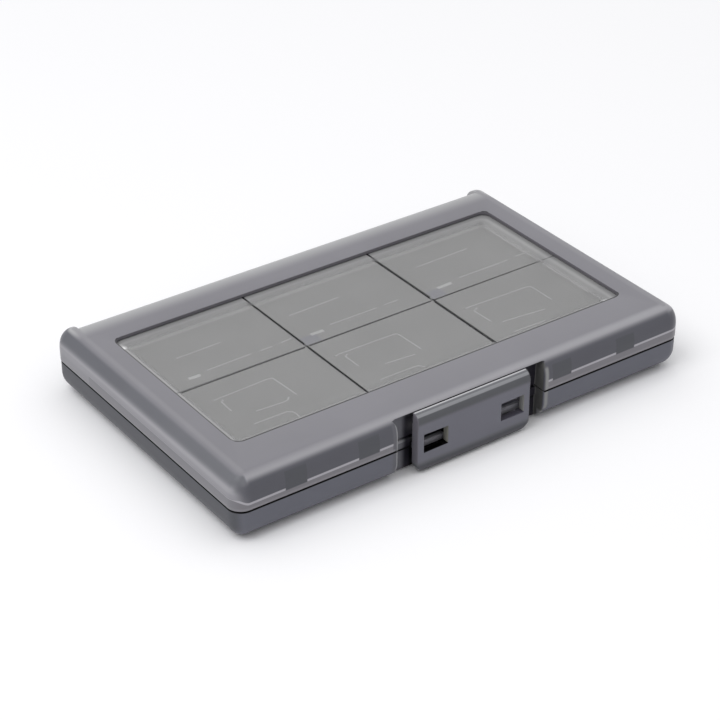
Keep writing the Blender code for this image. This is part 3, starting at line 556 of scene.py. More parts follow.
def knuckles(spans, way):
    """Hinge knuckles: a round barrel with a square root towards the shell, bored along the axis.

    From the axis, the outline reaches the barrel's circle, or on the root's side the root's box if
    that is further. An outer knuckle is blind: its bore stops short of its outer end.
    """
    angle = np.linspace(0, 2 * math.pi, KNUCKLE_SIDES, endpoint=False)
    cosine, sine = np.cos(angle), np.sin(angle)
    to_side = KNUCKLE_ROOT / np.minimum(cosine, -NEARLY_NONE)
    to_top = KNUCKLE_RADIUS / np.maximum(np.abs(sine), NEARLY_NONE)
    in_root = (cosine < NEARLY_NONE) & (sine > ROOT_START)
    root = np.maximum(KNUCKLE_RADIUS, np.minimum(to_side, to_top))
    direction = np.stack([cosine, sine * way], axis=1)
    outer = direction * np.where(in_root, root, KNUCKLE_RADIUS)[:, None]
    slight = outer * (1 - KNUCKLE_ROUND / KNUCKLE_RADIUS)
    bore = direction * KNUCKLE_BORE
    parts = []
    for near, far in spans:
        side = math.copysign(1, near)
        is_blind = abs(near) > BLIND_PAST
        stages = [(bore, near), (slight, near), (outer, near + side * KNUCKLE_ROUND)]
        stages += [(outer, far - side * KNUCKLE_ROUND), (slight, far)]
        if is_blind:
            stages.insert(0, (bore, far - side * BLIND_WALL))
        else:
            stages.append((bore, far))
        rows = np.stack([np.insert(ring + (HINGE_Y, HINGE_Z), 0, place, axis=1) for ring, place in stages])
        if is_blind:
            parts.append(capped(rows))
        else:
            parts.append((rows.reshape(-1, 3), woven(len(rows), angle.size, closed=True)))
    return joined(parts)


catch_outline = softened_box(CATCH[:2], CATCH[2:], CATCH_ROUND)
catch_bars = built("catch_bars", *carried(catch_outline, CATCH_SPANS), base_smoke)
fitted(catch_bars, "base")


def snap_hooks(wall_x, low, high, way):
    """Four snap hooks on the side walls, each a wedge in (x, z) carried along Y.

    A hook is flat where it holds the tray, and slopes to its tip on the other face.
    """
    held, free = (low, high) if way > 0 else (high, low)
    tip = held + (free - held) * HOOK_THIN
    sloped = [(HOOK_TIP + HOOK_SLOPE, free), (HOOK_TIP, tip)]
    right = np.array([(HOOK_TIP, held), (wall_x, held), (wall_x, free), *sloped])
    left = right * (-1, 1)
    return joined([carried(outline, HOOK_Y, axis=1) for outline in (right, left)])


base_hooks = built("base_tray_hooks", *snap_hooks(*BASE_HOOK, 1), base_smoke)
fitted(base_hooks, "base")
base_knuckles = built("base_hinge_knuckles", *knuckles(BASE_KNUCKLES, -1), base_smoke)
fitted(base_knuckles, "base")


# The base's tray and the two hinge pins keep their built shapes. The tray is a thin grey moulding of
# six pockets; the pins are drawn steel wire, bright and smooth.
DIVIDE_LEAN = -0.0036
WIRE_SCALE = 6.0
WIRE_ROUGHNESS = (0.22, 0.36)

tray_grey, tree, shader = finish("tray_grey_polypropylene", IOR=1.49, Specular_IOR_Level=0.2)
place = placed(tree)
place["divide"] = leaning(tree, place, "y", DIVIDE_LEAN)
UPPER_TRAY = ("z", 12.8, None, 0.06)
DIVIDERS = ((-16.4, -15.92), (16.26, 16.74))
BESIDE = (("y", 0.9, None, 0.1), ("y", None, 0.0, 0.1))
# Painted light on the upper face by the back and right edges, where the pane's border and the wall shade it,
# painted patches of light by the right wall, and painted shade beside the dividers where they cross. The
# dividers' own dark lines are not light.
tray_colour = painted(
    tree,
    place,
    "#979797",
    [
        ("#c6c6c6", 1.0, ("y", 19.8, None, 2.2), UPPER_TRAY),
        ("#b8b8b8", 1.0, ("x", 45.8, None, 1.6), UPPER_TRAY),
        ("#c0c0c0", 0.7, ("x", 45.3, None, 0.7), ("y", 2.6, 19.6, 2.4), UPPER_TRAY),
        ("#c0c0c0", 0.7, ("x", 45.4, None, 0.6), ("y", -16.6, -2.2, 1.4), UPPER_TRAY),
        ("#909096", 1.0, ("x", -16.0, -12.0, 0.5), ("y", -0.1, 3.0, 0.3), UPPER_TRAY),
        ("#909096", 1.0, ("x", 16.6, 20.5, 0.5), ("y", -0.1, 3.0, 0.3), UPPER_TRAY),
        ("#6a6a6c", 1.0, ("divide", -0.45, -0.15, 0.1), UPPER_TRAY),
        *[("#1c1c20", 1.0, ("x", *ends, 0.05), side, UPPER_TRAY) for ends in DIVIDERS for side in BESIDE],
    ],
)
moulded(tree, place, shader, tray_colour, flow=11.0, roughness=0.5, lift=0.05)
pin_steel, tree, shader = finish("drawn_steel_wire", Metallic=1.0, Base_Color=linear("#b9b9bb"))
place = placed(tree)
drawn = add(tree, "ShaderNodeTexNoise", {"Vector": place["point"], "Scale": WIRE_SCALE, "Detail": 2.0})
spread = add(tree, "ShaderNodeMapRange", [drawn.outputs["Fac"], *NOISE_SPAN, *WIRE_ROUGHNESS])
tree.links.new(spread.outputs[0], shader.inputs["Roughness"])


def refinished(node, material):
    """Gives a built piece a new finish, and keeps its shape."""
    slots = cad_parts[node].data.materials
    slots.clear()
    slots.append(material)


refinished("base_card_tray", tray_grey)
refinished("hinge_pin_left", pin_steel)
refinished("hinge_pin_right", pin_steel)


# The lid shell, the top half: the same plastic, a little clear, so that the base's tongue shows as a
# paler band inside its rim. Its top runs into soft edges and is cut out round the window, and at
# the front the latch bay is hollowed round the latch's barrel.
LID_HALF = 56.25
LID_FRONT = -35.4
LID_BACK = 34.8
LID_CORNER = 3.2
LID_TOP = 15.0
LID_RIM = 7.65
LID_EDGE = (3.2, 4.5, 2.1)
LID_WALL = 1.2
LID_UNDER = 13.6
LID_INNER_EDGE = (2.0, 3.1, 2.0)
LID_ROUND = 0.2
WINDOW = (48.75, -23.9, 22.9, 2.0, 0.0, 1.0)
WINDOW_ROUND = 0.15
SEAT_LAP = 1.8
SEAT_TOP = 14.2
LATCH_Y = -34.4
LATCH_Z = 12.34
BARREL_ROOM = 1.95
TOP_STEP = 3.3
FLARE_START = 12.3
FLARE_ROUND = 2.6
FLARE_PLACES = (15.0, 18.0, 19.2, 24.0)
FLARE_SHARES = (0, 1, 1, 0)
FLARE_BEHIND = 0.5
BACK_EASE = 1.2
CREST_LEAN = 0.005
BROW_LEAN = 0.0118
STRIP_LEAN = 0.0073
STRIP_LIFT = -1.2
FLANK_LEAN = 0.0135
PROW_LEAN = -0.25
RIB_SHIFT = 1.15
LIP_SEARCH = 4000
LIP_STEPS = 8
BAY_STEPS = 14
RIM_STEPS = 4

lid_plan = (LID_HALF, LID_FRONT, LID_BACK, LID_CORNER, EAR_STEP, BACK_EASE)
lid_inner_plan = (LID_HALF, LID_FRONT, LID_BACK - EAR_STEP, LID_CORNER, 0.0, 1.0)
top_plan = (LID_HALF, LID_FRONT, LID_BACK - EAR_STEP, LID_CORNER, 0.0, BACK_EASE)
lid_rows = [shell_row(WINDOW, 0, SEAT_TOP), shell_row(WINDOW, 0, LID_TOP - WINDOW_ROUND)]
window_turns = np.linspace(0, QUARTER, ROUND_STEPS + 1)[1:]
for inset, drop in zip(*edge_curve((WINDOW_ROUND, WINDOW_ROUND, 2.0), window_turns)):
    lid_rows.append(shell_row(WINDOW, -inset, LID_TOP - drop))
lid_rows.append(shell_row(top_plan, TOP_STEP, LID_TOP))

# The lip is where the lid's front edge meets the round room of the latch's barrel.
fine_turns = np.linspace(QUARTER, 0, LIP_SEARCH + 1)
fine_inset, fine_drop = edge_curve(LID_EDGE, fine_turns)
from_axis = np.hypot(LID_FRONT + fine_inset - LATCH_Y, LID_TOP - fine_drop - LATCH_Z)
lip_turn = fine_turns[np.argmax(from_axis < BARREL_ROOM)]
lip_inset, lip_drop = edge_curve(LID_EDGE, lip_turn)
lip_z = LID_TOP - lip_drop
lip_angle = math.atan2(lip_z - LATCH_Z, LID_FRONT + lip_inset - LATCH_Y)
for inset, drop in zip(*edge_curve(LID_EDGE, np.linspace(QUARTER, lip_turn, LIP_STEPS + 1))):
    lid_rows.append(shell_row(lid_plan, inset, LID_TOP - drop))


def flared(row):
    """A row whose bay is a little wider where it is higher: by R(1 - sqrt(1 - (rise/R)^2))."""
    rise = np.clip((row[:, 2] - FLARE_START) / FLARE_ROUND, 0, 1)
    wider = FLARE_ROUND * (1 - np.sqrt(1 - rise**2))
    near_step = np.interp(np.abs(row[:, 0]), FLARE_PLACES, FLARE_SHARES)
    in_front = row[:, 1] < BAY_BACK + FLARE_BEHIND
    moved = row.copy()
    moved[:, 0] += np.sign(row[:, 0]) * wider * near_step * in_front
    return moved


arc_length = BARREL_ROOM * lip_angle
wall_start = LID_TOP - LID_EDGE[1]
bay_run = np.linspace(0, arc_length + LATCH_Z - wall_start, BAY_STEPS + 1)[1:]
bay_turn = np.maximum(0, lip_angle - bay_run / BARREL_ROOM)
bay_down = np.maximum(0, bay_run - arc_length)
bay_y = LATCH_Y + BARREL_ROOM * np.cos(bay_turn)
bay_z = LATCH_Z + BARREL_ROOM * np.sin(bay_turn) - bay_down
edge_insets, edge_drops = edge_curve(LID_EDGE, np.linspace(lip_turn, 0, BAY_STEPS + 1)[1:])
for inset, drop, y, z in zip(edge_insets, edge_drops, bay_y, bay_z):
    lid_rows.append(flared(shell_row(lid_plan, inset, LID_TOP - drop, (y, z))))
rim_turns = np.linspace(0, QUARTER, RIM_STEPS + 1)
for inset, rise in zip(*edge_curve((LID_ROUND, LID_ROUND, 2.0), rim_turns)):
    z = LID_RIM + rise
    lid_rows.append(shell_row(lid_plan, inset, z, (BAY_BACK + inset, z)))
for inset, rise in zip(*edge_curve((LID_ROUND, LID_ROUND, 2.0), rim_turns[::-1])):
    z = LID_RIM + rise
    lid_rows.append(shell_row(lid_inner_plan, LID_WALL - inset, z, (BAY_INNER - inset, z), in_inner_bay))
for inset, drop in zip(*edge_curve(LID_INNER_EDGE, np.linspace(0, QUARTER, INNER_STEPS + 1))):
    z = LID_UNDER - drop
    lid_rows.append(shell_row(lid_inner_plan, LID_WALL + inset, z, (BAY_INNER, z), in_inner_bay))
lid_rows.append(shell_row(WINDOW, -SEAT_LAP, LID_UNDER))
lid_rows.append(shell_row(WINDOW, -SEAT_LAP, SEAT_TOP))

# The lid's plastic lets a little light through: the tongue inside shows as a band with a bright top edge, and
# the ribs show as darker patches. Over its grey lie painted light and shade: painted highlights along the
# front and back of the top, down its sides, on the bay's edges and just above the parting line. There is
# painted shade on the end roundings, the front wall, the parting line, round the window and in the latch bay,
# and painted light on the bay's right side.
lid_smoke, tree, shader = finish("smoke_grey_lid_abs", IOR=1.5, Specular_IOR_Level=0.2)
place = placed(tree)
place["crest"] = leaning(tree, place, "z", CREST_LEAN)
place["frame"] = past_window(tree, place)
place["brow"] = leaning(tree, place, "y", BROW_LEAN)
around = [place["x"], -CORNER_END, -LID_HALF, 0.0, STRIP_LIFT]
lift = add(tree, "ShaderNodeMapRange", around, interpolation_type="SMOOTHSTEP")
along = leaning(tree, place, "z", STRIP_LEAN)
place["strip"] = add(tree, "ShaderNodeMath", [along, lift.outputs[0]], operation="ADD").outputs[0]
shifted = add(tree, "ShaderNodeMath", [place["x"], RIB_SHIFT], operation="ADD")
place["seen"] = add(tree, "ShaderNodeMath", [shifted.outputs[0]], operation="ABSOLUTE").outputs[0]
flank = add(tree, "ShaderNodeMath", [place["y"], FLANK_LEAN, place["z"]], operation="MULTIPLY_ADD")
place["flank"] = flank.outputs[0]
prow = add(tree, "ShaderNodeMath", [place["z"], PROW_LEAN, place["y"]], operation="MULTIPLY_ADD")
place["prow"] = prow.outputs[0]

ON_SIDE = ("aside", 54.6, None, 1.6)
BY_CORNER = ("y", -34.6, None, 1.6)
BY_FRONT = ("y", None, 0.0, 50.0)
PAST_BAY = ("aside", 19.2, None, 0.2)
BEFORE_END = ("y", None, 20.3, 0.3)
BEFORE_BACK = ("y", None, 33.0, 0.1)
IN_BAY = ("y", -34.5, -31.7, 0.06)
OVER_BAY = ("aside", None, 18.5, 0.1)
TOP_LINE = ("z", 14.6, None, 0.06)
LEFT_END = ("x", None, -53.2, 0.6)
OVER_FLANK = ("flank", 12.6, None, 1.8)
UNDER_CREST = ("z", None, 14.66, 0.5)
LEFT_OF_LINE = ("x", None, 48.7, 0.1)
BEFORE_LINE = ("y", None, 22.8, 0.1)
lid_colour = painted(
    tree,
    place,
    "#838288",
    [
        ("#adadaf", 1.0, ("y", 28.7, None, 5.0), ("z", 13.0, None, 1.0)),
        ("#a09fa4", 1.0, ("brow", None, -32.8, 1.8), ("z", 13.0, None, 0.6)),
        ("#8e8d92", 0.7, ("aside", 52.5, 53.6, 0.8), ("z", 14.9, None, 0.1)),
        ("#9f9ea3", 1.0, ON_SIDE, ("flank", None, 12.6, 1.8)),
        ("#939297", 1.0, ON_SIDE, ("z", None, 11.4, 0.8)),
        ("#89888d", 1.0, ON_SIDE, ("z", None, 9.9, 1.6)),
        ("#66676d", 1.0, LEFT_END, OVER_FLANK, UNDER_CREST, BY_CORNER),
        ("#74757a", 0.6, LEFT_END, OVER_FLANK, UNDER_CREST, BY_FRONT),
        ("#6b6c71", 0.7, ("x", None, -54.2, 1.2), ("y", None, -33.7, 1.4), ("z", 11.8, 14.4, 1.6)),
        ("#6a6b70", 0.8, ("x", 53.2, None, 0.6), ("z", 12.5, None, 1.8), ("z", None, 14.0, 0.5)),
        ("#595960", 1.0, ("prow", None, -37.58, 2.0), ("crest", None, 13.8, 1.5)),
        ("#595960", 1.0, ("y", None, -33.7, 0.6), ("aside", None, 53.2, 1.6), ("crest", None, 14.0, 1.3)),
        ("#7f7e83", 1.0, ON_SIDE, ("strip", None, 9.6, 0.1), BEFORE_END, PAST_BAY),
        ("#7d7b80", 1.0, ("y", None, -34.2, 1.4), ("strip", None, 9.6, 0.1), PAST_BAY),
        ("#aeacb2", 1.0, ("strip", 9.35, 9.84, 0.16), BEFORE_END, PAST_BAY, ("z", None, 10.25, 0.2)),
        ("#535459", 1.0, ("seen", 21.8, 26.8, 0.3), ("strip", 9.27, 13.4, 0.25), ("y", None, -34.9, 0.2)),
        ("#535459", 1.0, ("seen", 38.9, 43.9, 0.3), ("strip", 9.27, 13.4, 0.25), ("y", None, -34.9, 0.2)),
        ("#626268", 1.0, ("x", -19.7, -18.4, 0.5), ("y", None, -34.6, 0.2), ("z", None, 13.8, 0.8)),
        ("#8a8a8d", 1.0, ("x", -18.9, -18.3, 0.06), ("y", None, -34.6, 0.2), ("z", None, 14.2, 0.8)),
        ("#8c8c8c", 1.0, ("x", 18.8, 19.6, 0.5), ("y", None, -34.9, 0.4), ("z", None, 13.0, 1.0)),
        ("#8d8b90", 0.6, ("z", 7.8, 8.3, 0.3), BEFORE_BACK, PAST_BAY),
        ("#080809", 1.0, ("z", None, 7.74, 0.08), BEFORE_BACK, PAST_BAY),
        ("#38383a", 1.0, ("frame", None, 0.24, 0.08), LEFT_OF_LINE, BEFORE_LINE, TOP_LINE),
        ("#38383a", 1.0, ("frame", None, 0.4, 0.08), ("y", None, -23.2, 0.6), TOP_LINE),
        ("#6c6a70", 1.0, ("frame", None, 0.12, 0.04), ("z", 13.9, 14.92, 0.05)),
        ("#74747a", 1.0, OVER_BAY, IN_BAY, ("z", None, 14.2, 0.05)),
        ("#24222a", 1.0, ("x", -15.2, None, 1.6), ("x", None, 18.5, 0.4), IN_BAY, ("z", None, 13.4, 1.4)),
        ("#84828c", 1.0, ("x", 5.0, 13.6, 0.4), IN_BAY, ("z", None, 9.6, 0.4)),
        ("#5c5c5b", 1.0, ("x", 18.4, 19.0, 0.2), ("y", -34.9, -31.7, 0.3), ("z", None, 14.2, 0.3)),
    ],
)
moulded(tree, place, shader, lid_colour, flow=16.0, roughness=0.36)
lid_points = np.stack(lid_rows)
lid_shell = built(
    "lid_shell_moulding",
    lid_points.reshape(-1, 3),
    woven(*lid_points.shape[:2], closed=True),
    lid_smoke,
)
fitted(lid_shell, "lid", replaced=["lid_shell"])


# Small mouldings of the lid: four ribs behind its front wall, four snap hooks for its tray, four
# hinge knuckles, and the two lugs with round eyes that carry the latch's pin.
RIB = (-34.4, -33.4, 9.0, 13.4)
RIB_CENTRES = (-41.4, -24.3, 24.3, 41.4)
RIB_HALF = 2.5
RIB_ROUND = 0.05
LID_HOOK = (54.9, 11.3, 12.1)
LID_KNUCKLES = [(32.0, 36.7), (43.3, 48.0), (-32.0, -36.7), (-43.3, -48.0)]
LUG_SPANS = [(2.8, 7.2), (-7.2, -2.8)]
LUG_RADIUS = 1.0
LUG_WEB = (10.94, 12.19)
LUG_ROOT = -31.9
LUG_DRAW = 0.08
EYE_PLACES = 30

rib_spans = [(centre - RIB_HALF, centre + RIB_HALF) for centre in RIB_CENTRES]
rib_outline = softened_box(RIB[:2], RIB[2:], RIB_ROUND)
lid_ribs = built("lid_ribs", *carried(rib_outline, rib_spans), lid_smoke)
fitted(lid_ribs, "lid")
lid_hooks = built("lid_tray_hooks", *snap_hooks(*LID_HOOK, -1), lid_smoke)
fitted(lid_hooks, "lid")
lid_knuckles = built("lid_hinge_knuckles", *knuckles(LID_KNUCKLES, 1), lid_smoke)
fitted(lid_knuckles, "lid")
web_turn = -math.asin((LATCH_Z - LUG_WEB[1]) / LUG_RADIUS)
eye_turn = np.linspace(web_turn, 3 * QUARTER, EYE_PLACES)
eye = np.stack([LATCH_Y + LUG_RADIUS * np.cos(eye_turn), LATCH_Z + LUG_RADIUS * np.sin(eye_turn)], axis=1)
web = [(LATCH_Y, LUG_WEB[0]), (LUG_ROOT, LUG_WEB[0]), (LUG_ROOT, LUG_WEB[1])]
latch_lugs = built("latch_lugs", *carried(np.vstack([eye, web]), LUG_SPANS, edge=LUG_DRAW), lid_smoke)
fitted(latch_lugs, "lid")


# The window pane, a smoked clear sheet, over the lid's tray: both keep their shapes, as the latch's
# The pane dims what is under it up to its opaque border. Light passes it twice, so where it is half clear its
# colour is brightened as painted light to make up for that, by 1 + a share of clear^3 sqrt(most clear -
# clear). It also carries a painted highlight along its left edge and painted patches of light by the right
# wall.
PANE_SEE = 0.9
PANE_NEAR = ("frame", None, -1.4, 1.0)
PANE_FAR = [("x", None, 46.0, 2.8), ("y", None, 20.6, 2.8)]
PANE_PAINTED_LIGHT = 7.8
HAZE = 18.0
HAZE_TONE = (0.97, 1.03)

smoked_sheet, tree, shader = finish("smoked_clear_polycarbonate", IOR=1.58, Roughness=0.2)
place = placed(tree)
place["frame"] = past_window(tree, place)
place["divide"] = leaning(tree, place, "y", DIVIDE_LEAN)
haze = add(tree, "ShaderNodeTexNoise", {"Vector": place["point"], "Scale": 1 / HAZE, "Detail": 2.0})
shade = add(tree, "ShaderNodeMapRange", [haze.outputs["Fac"], *NOISE_SPAN, *HAZE_TONE])
pane_colour = painted(
    tree,
    place,
    "#909091",
    [
        ("#a0a0a0", 0.8, ("x", -47.95, -47.55, 0.1), ("y", -22.6, 21.6, 0.1)),
        ("#989898", 0.5, ("x", 44.8, None, 0.6), ("y", 1.7, 18.7, 2.4)),
        ("#989898", 0.5, ("x", 44.8, None, 0.6), ("y", -17.5, -3.1, 1.4)),
        ("#5c5c5e", 1.0, ("aside", 45.4, None, 1.0), ("divide", -1.34, -1.08, 0.1)),
        ("#1c1c20", 1.0, ("x", -17.05, -16.57, 0.05)),
        ("#1c1c20", 1.0, ("x", 15.61, 16.09, 0.05)),
    ],
)
far_clear = share_within(tree, place, PANE_SEE, PANE_FAR)
clear = share_within(tree, place, far_clear, [PANE_NEAR])
cover = add(tree, "ShaderNodeMath", [1.0, clear], operation="SUBTRACT")
tree.links.new(cover.outputs[0], shader.inputs["Alpha"])
cubed = add(tree, "ShaderNodeMath", [far_clear, 3.0], operation="POWER")
unclear = add(tree, "ShaderNodeMath", [PANE_SEE, far_clear], operation="SUBTRACT")
rooted = add(tree, "ShaderNodeMath", [unclear.outputs[0]], operation="SQRT")
lost = add(tree, "ShaderNodeMath", [cubed.outputs[0], rooted.outputs[0]], operation="MULTIPLY")
own = add(tree, "ShaderNodeMath", [lost.outputs[0], PANE_PAINTED_LIGHT, 1.0], operation="MULTIPLY_ADD")
toned = add(tree, "ShaderNodeMath", [shade.outputs[0], own.outputs[0]], operation="MULTIPLY")
tint = add(tree, "ShaderNodeVectorMath", [pane_colour, toned.outputs[0]], operation="MULTIPLY")
tree.links.new(tint.outputs[0], shader.inputs["Base Color"])
refinished("window_pane", smoked_sheet)
refinished("lid_card_tray", tray_grey)
refinished("latch_pin", pin_steel)


# Fine moulded ridges on the lid tray's upper face, which show faintly through the pane: short lines
# over each pocket of the back row, and a rounded outline over each pocket of the front row.
RIDGE_TOP = 13.36
RIDGE_FOOT = 13.25
RIDGE_WIDTH = 0.5
BRIGHT_WIDTH = 1.2
FRONT_LEFT_LINES = [
    [(-43.0, -6.6), (-30.1, -6.2), (-28.93, -6.36), (-28.7, -6.87), (-28.2, -14.4)],
    [(-41.2, -7.5), (-41.9, -8.0), (-42.05, -12.0)],
    [(-30.0, -14.15), (-30.6, -14.9), (-31.5, -15.15), (-38.1, -14.7)],
    [(-41.0, -18.3), (-33.3, -18.4), (-32.4, -19.0), (-32.15, -19.9), (-32.3, -21.85)],
]
FRONT_MIDDLE_LINES = [
    [(-13.8, -7.0), (-12.6, -6.7), (0.65, -6.9), (1.7, -7.06), (2.03, -7.7), (2.4, -14.85)],
    [(-11.2, -7.7), (-12.0, -8.25), (-12.0, -12.8)],
    [(0.15, -15.8), (-7.0, -15.25)],
    [(-11.5, -19.55), (-3.45, -19.6), (-2.0, -19.7), (-1.15, -20.9)],
]
FRONT_RIGHT_LINES = [
    [(19.7, -7.2), (35.9, -7.6), (36.9, -7.9), (37.1, -8.9), (37.2, -15.0)],
    [(22.0, -8.5), (20.7, -9.1), (20.95, -14.75)],
    [(22.8, -16.05), (33.4, -17.2)],
    [(22.3, -20.65), (30.4, -20.9)],
]
BACK_LEFT_LINES = [
    [(-40.75, 11.2), (-30.0, 11.3)],
    [(-38.1, 3.7), (-27.1, 3.85)],
    [(-25.1, 3.7), (-22.0, 3.8)],
    [(-19.95, 3.85), (-17.25, 4.15)],
]
BACK_MIDDLE_LINES = [
    [(-12.4, 12.0), (0.65, 12.3)],
    [(-7.6, 4.0), (4.65, 3.95)],
    [(6.6, 4.0), (10.3, 4.0)],
]
BACK_RIGHT_LINES = [
    [(21.8, 13.05), (36.0, 13.3)],
    [(26.7, 4.0), (40.2, 4.0)],
    [(42.7, 4.3), (45.75, 4.3)],
]
BRIGHT_LINES = [
    [(-42.7, 3.1), (-40.0, 2.95)],
    [(-13.0, 3.0), (-9.8, 2.9)],
    [(20.2, 3.05), (24.0, 3.2)],
]


def ridge(path, width):
    """A low ridge along a path: at each point a trapezium across the path, half as wide on top."""
    path = np.array(path, float)
    run = np.gradient(path, axis=0)
    run /= np.linalg.norm(run, axis=1, keepdims=True)
    across = np.stack([-run[:, 1], run[:, 0]], axis=1) * width / 2
    section = [(-1, RIDGE_FOOT), (1, RIDGE_FOOT), (0.5, RIDGE_TOP), (-0.5, RIDGE_TOP)]
    sides = [np.column_stack([path + share * across, np.full(len(path), z)]) for share, z in section]
    return capped(np.stack(sides, axis=1))


ridge_lines = FRONT_LEFT_LINES + FRONT_MIDDLE_LINES + FRONT_RIGHT_LINES
ridge_lines += BACK_LEFT_LINES + BACK_MIDDLE_LINES + BACK_RIGHT_LINES
ridges = [ridge(line, RIDGE_WIDTH) for line in ridge_lines]
ridges += [ridge(line, BRIGHT_WIDTH) for line in BRIGHT_LINES]
ridge_grey, tree, shader = finish("tray_ridge_grey", IOR=1.49, Specular_IOR_Level=0.2)
place = placed(tree)
ridge_colour = painted(tree, place, "#b0b0b1", [("#bababb", 1.0, ("y", 2.2, 3.6, 0.1))])
moulded(tree, place, shader, ridge_colour, flow=11.0, roughness=0.5, lift=0.05)
tray_ridges = built("tray_ridges", *joined(ridges), ridge_grey)
fitted(tray_ridges, "lid")


# The latch, a flap that turns on a pin at its top: a curved plate with a barrel along its top edge,
# a tucked-in foot, end walls and two windows. One moulding with its hooks and knuckles.
FLAP_HALF = 14.25
FLAP_FACE = -36.2
FLAP_BACK = -34.7
FLAP_FOOT = 0.35
FLAP_BARREL = 1.8
FLAP_RISE = 1.92
FLAP_TUCK = (1.2, 2.6)
FLAP_CORNER = 2.6
FLAP_END_BACK = -34.2
FLAP_END = 13.25
FLAP_END_ROUND = 0.3
FLAP_WINDOW_ROUND = 0.25
# A window is given as two x and two z, and the room round a lug's eye as two x and a radius.
FLAP_WINDOW = (6.8, 12.6, 5.3, 9.3)
FLAP_EYE_ROOM = (2.5, 7.5, 1.2)
FLAP_CROWN = 0.12
CROWN_FADE = 2.0
AXIS_FOOT = 11.34
FLAP_TURNS = 13

# A grid of lines up and across the flap, close together at its windows and edges, from top to foot.
INNER_LINES = [0, 1.2, 2.49, 2.51, 3.8, 5.2, 6.55, 6.62, 6.71, 6.8, 7.49, 7.51, 9.0, 10.5, 12.0, 12.6]
OUTER_LINES = [12.69, 12.78, 12.85, 13.24, 13.26, 13.75, 13.9, 14.03, 14.13, 14.2, 14.25]
PLAIN_Z = [12.0, 11.7, 11.34, 11.14, 10.5, 9.55, 9.46, 9.37, 9.3, 8.0, 6.6, 5.3, 5.23, 5.14, 5.05, 4.4]

half_lines = INNER_LINES + OUTER_LINES
flap_x = np.concatenate([-np.array(half_lines[:0:-1]), half_lines])
barrel_turn = np.linspace(QUARTER, 0, FLAP_TURNS)
tuck_turn = np.linspace(0, QUARTER, FLAP_TURNS)
tuck_z = FLAP_FOOT + FLAP_TUCK[1] * (1 - np.sin(tuck_turn))
flap_z = np.concatenate([LATCH_Z + FLAP_RISE * np.sin(barrel_turn), PLAIN_Z, tuck_z])
skin_y = np.concatenate(
    [
        LATCH_Y - FLAP_BARREL * np.cos(barrel_turn),
        np.full(len(PLAIN_Z), FLAP_FACE),
        FLAP_FACE + FLAP_TUCK[0] * (1 - np.cos(tuck_turn)),
    ]
)
below_corner = np.maximum(0, FLAP_FOOT + FLAP_CORNER - flap_z)
half_here = FLAP_HALF - FLAP_CORNER + np.sqrt(FLAP_CORNER**2 - below_corner**2)
grid_x = flap_x[None, :] * (half_here / FLAP_HALF)[:, None]
grid_z = np.repeat(flap_z[:, None], flap_x.size, axis=1)


def edge_drop(distance, radius):
    """How far a rounded edge lies below its face, at a distance in: r - sqrt(r^2 - (r - distance)^2)."""
    near = radius - np.minimum(distance, radius)
    return radius - np.sqrt(radius**2 - near**2)


aside = np.abs(grid_x)
from_end = half_here[:, None] - aside
in_x = np.maximum(0, np.maximum(FLAP_WINDOW[0] - aside, aside - FLAP_WINDOW[1]))
in_z = np.maximum(0, np.maximum(FLAP_WINDOW[2] - grid_z, grid_z - FLAP_WINDOW[3]))
from_window = np.hypot(in_x, in_z)
below_barrel = np.clip((LATCH_Z - grid_z) / CROWN_FADE, 0, 1)
crown = FLAP_CROWN * (aside / FLAP_HALF) ** 2 * below_barrel
front_y = skin_y[:, None] + crown + edge_drop(from_end, FLAP_END_ROUND)
front_y += edge_drop(from_window, FLAP_WINDOW_ROUND)

# The back is the plate's, or its end walls', and runs into the barrel; it stays clear of the lugs.
on_axis = np.interp(flap_z, [AXIS_FOOT, LATCH_Z], [0, 1])[:, None]
plate_back = FLAP_BACK + on_axis * (LATCH_Y - FLAP_BACK)
wall_back = FLAP_END_BACK + on_axis * (LATCH_Y - FLAP_END_BACK)
back_y = np.where(aside > FLAP_END * (half_here / FLAP_HALF)[:, None], wall_back, plate_back)
eye_room = np.sqrt(np.maximum(0, FLAP_EYE_ROOM[2] ** 2 - (grid_z - LATCH_Z) ** 2))
at_eye = (aside > FLAP_EYE_ROOM[0]) & (aside < FLAP_EYE_ROOM[1])
back_y = np.where(at_eye, np.minimum(back_y, LATCH_Y - eye_room), back_y)
back_y = np.maximum(back_y, front_y)

# Both skins are filled outside the windows, and joined wherever a filled cell meets an open one.
solid = np.zeros((flap_z.size + 1, flap_x.size + 1), bool)
solid[1:-1, 1:-1] = True
middle_x = np.abs(flap_x[1:] + flap_x[:-1]) / 2
middle_z = (flap_z[1:] + flap_z[:-1]) / 2
open_x = (middle_x > FLAP_WINDOW[0]) & (middle_x < FLAP_WINDOW[1])
open_z = (middle_z > FLAP_WINDOW[2]) & (middle_z < FLAP_WINDOW[3])
solid[1:-1, 1:-1] &= ~(open_z[:, None] & open_x[None, :])
corner = np.arange(flap_z.size * flap_x.size).reshape(flap_z.size, flap_x.size)
behind = corner + corner.size
filled = solid[1:-1, 1:-1]
faces = [
    np.stack([sheet[:-1, :-1], sheet[:-1, 1:], sheet[1:, 1:], sheet[1:, :-1]], axis=-1)[filled]
    for sheet in (corner, behind)
]
rims = [
    (solid[:-1, 1:-1] != solid[1:, 1:-1], (0, 1)),
    (solid[1:-1, :-1] != solid[1:-1, 1:], (1, 0)),
]
for on_rim, (down, beside) in rims:
    i, j = np.nonzero(on_rim)
    ends = [corner[i, j], corner[i + down, j + beside], behind[i + down, j + beside], behind[i, j]]
    faces.append(np.stack(ends, axis=1))
front_skin = np.stack([grid_x, front_y, grid_z], axis=-1).reshape(-1, 3)
back_skin = np.stack([grid_x, back_y, grid_z], axis=-1).reshape(-1, 3)
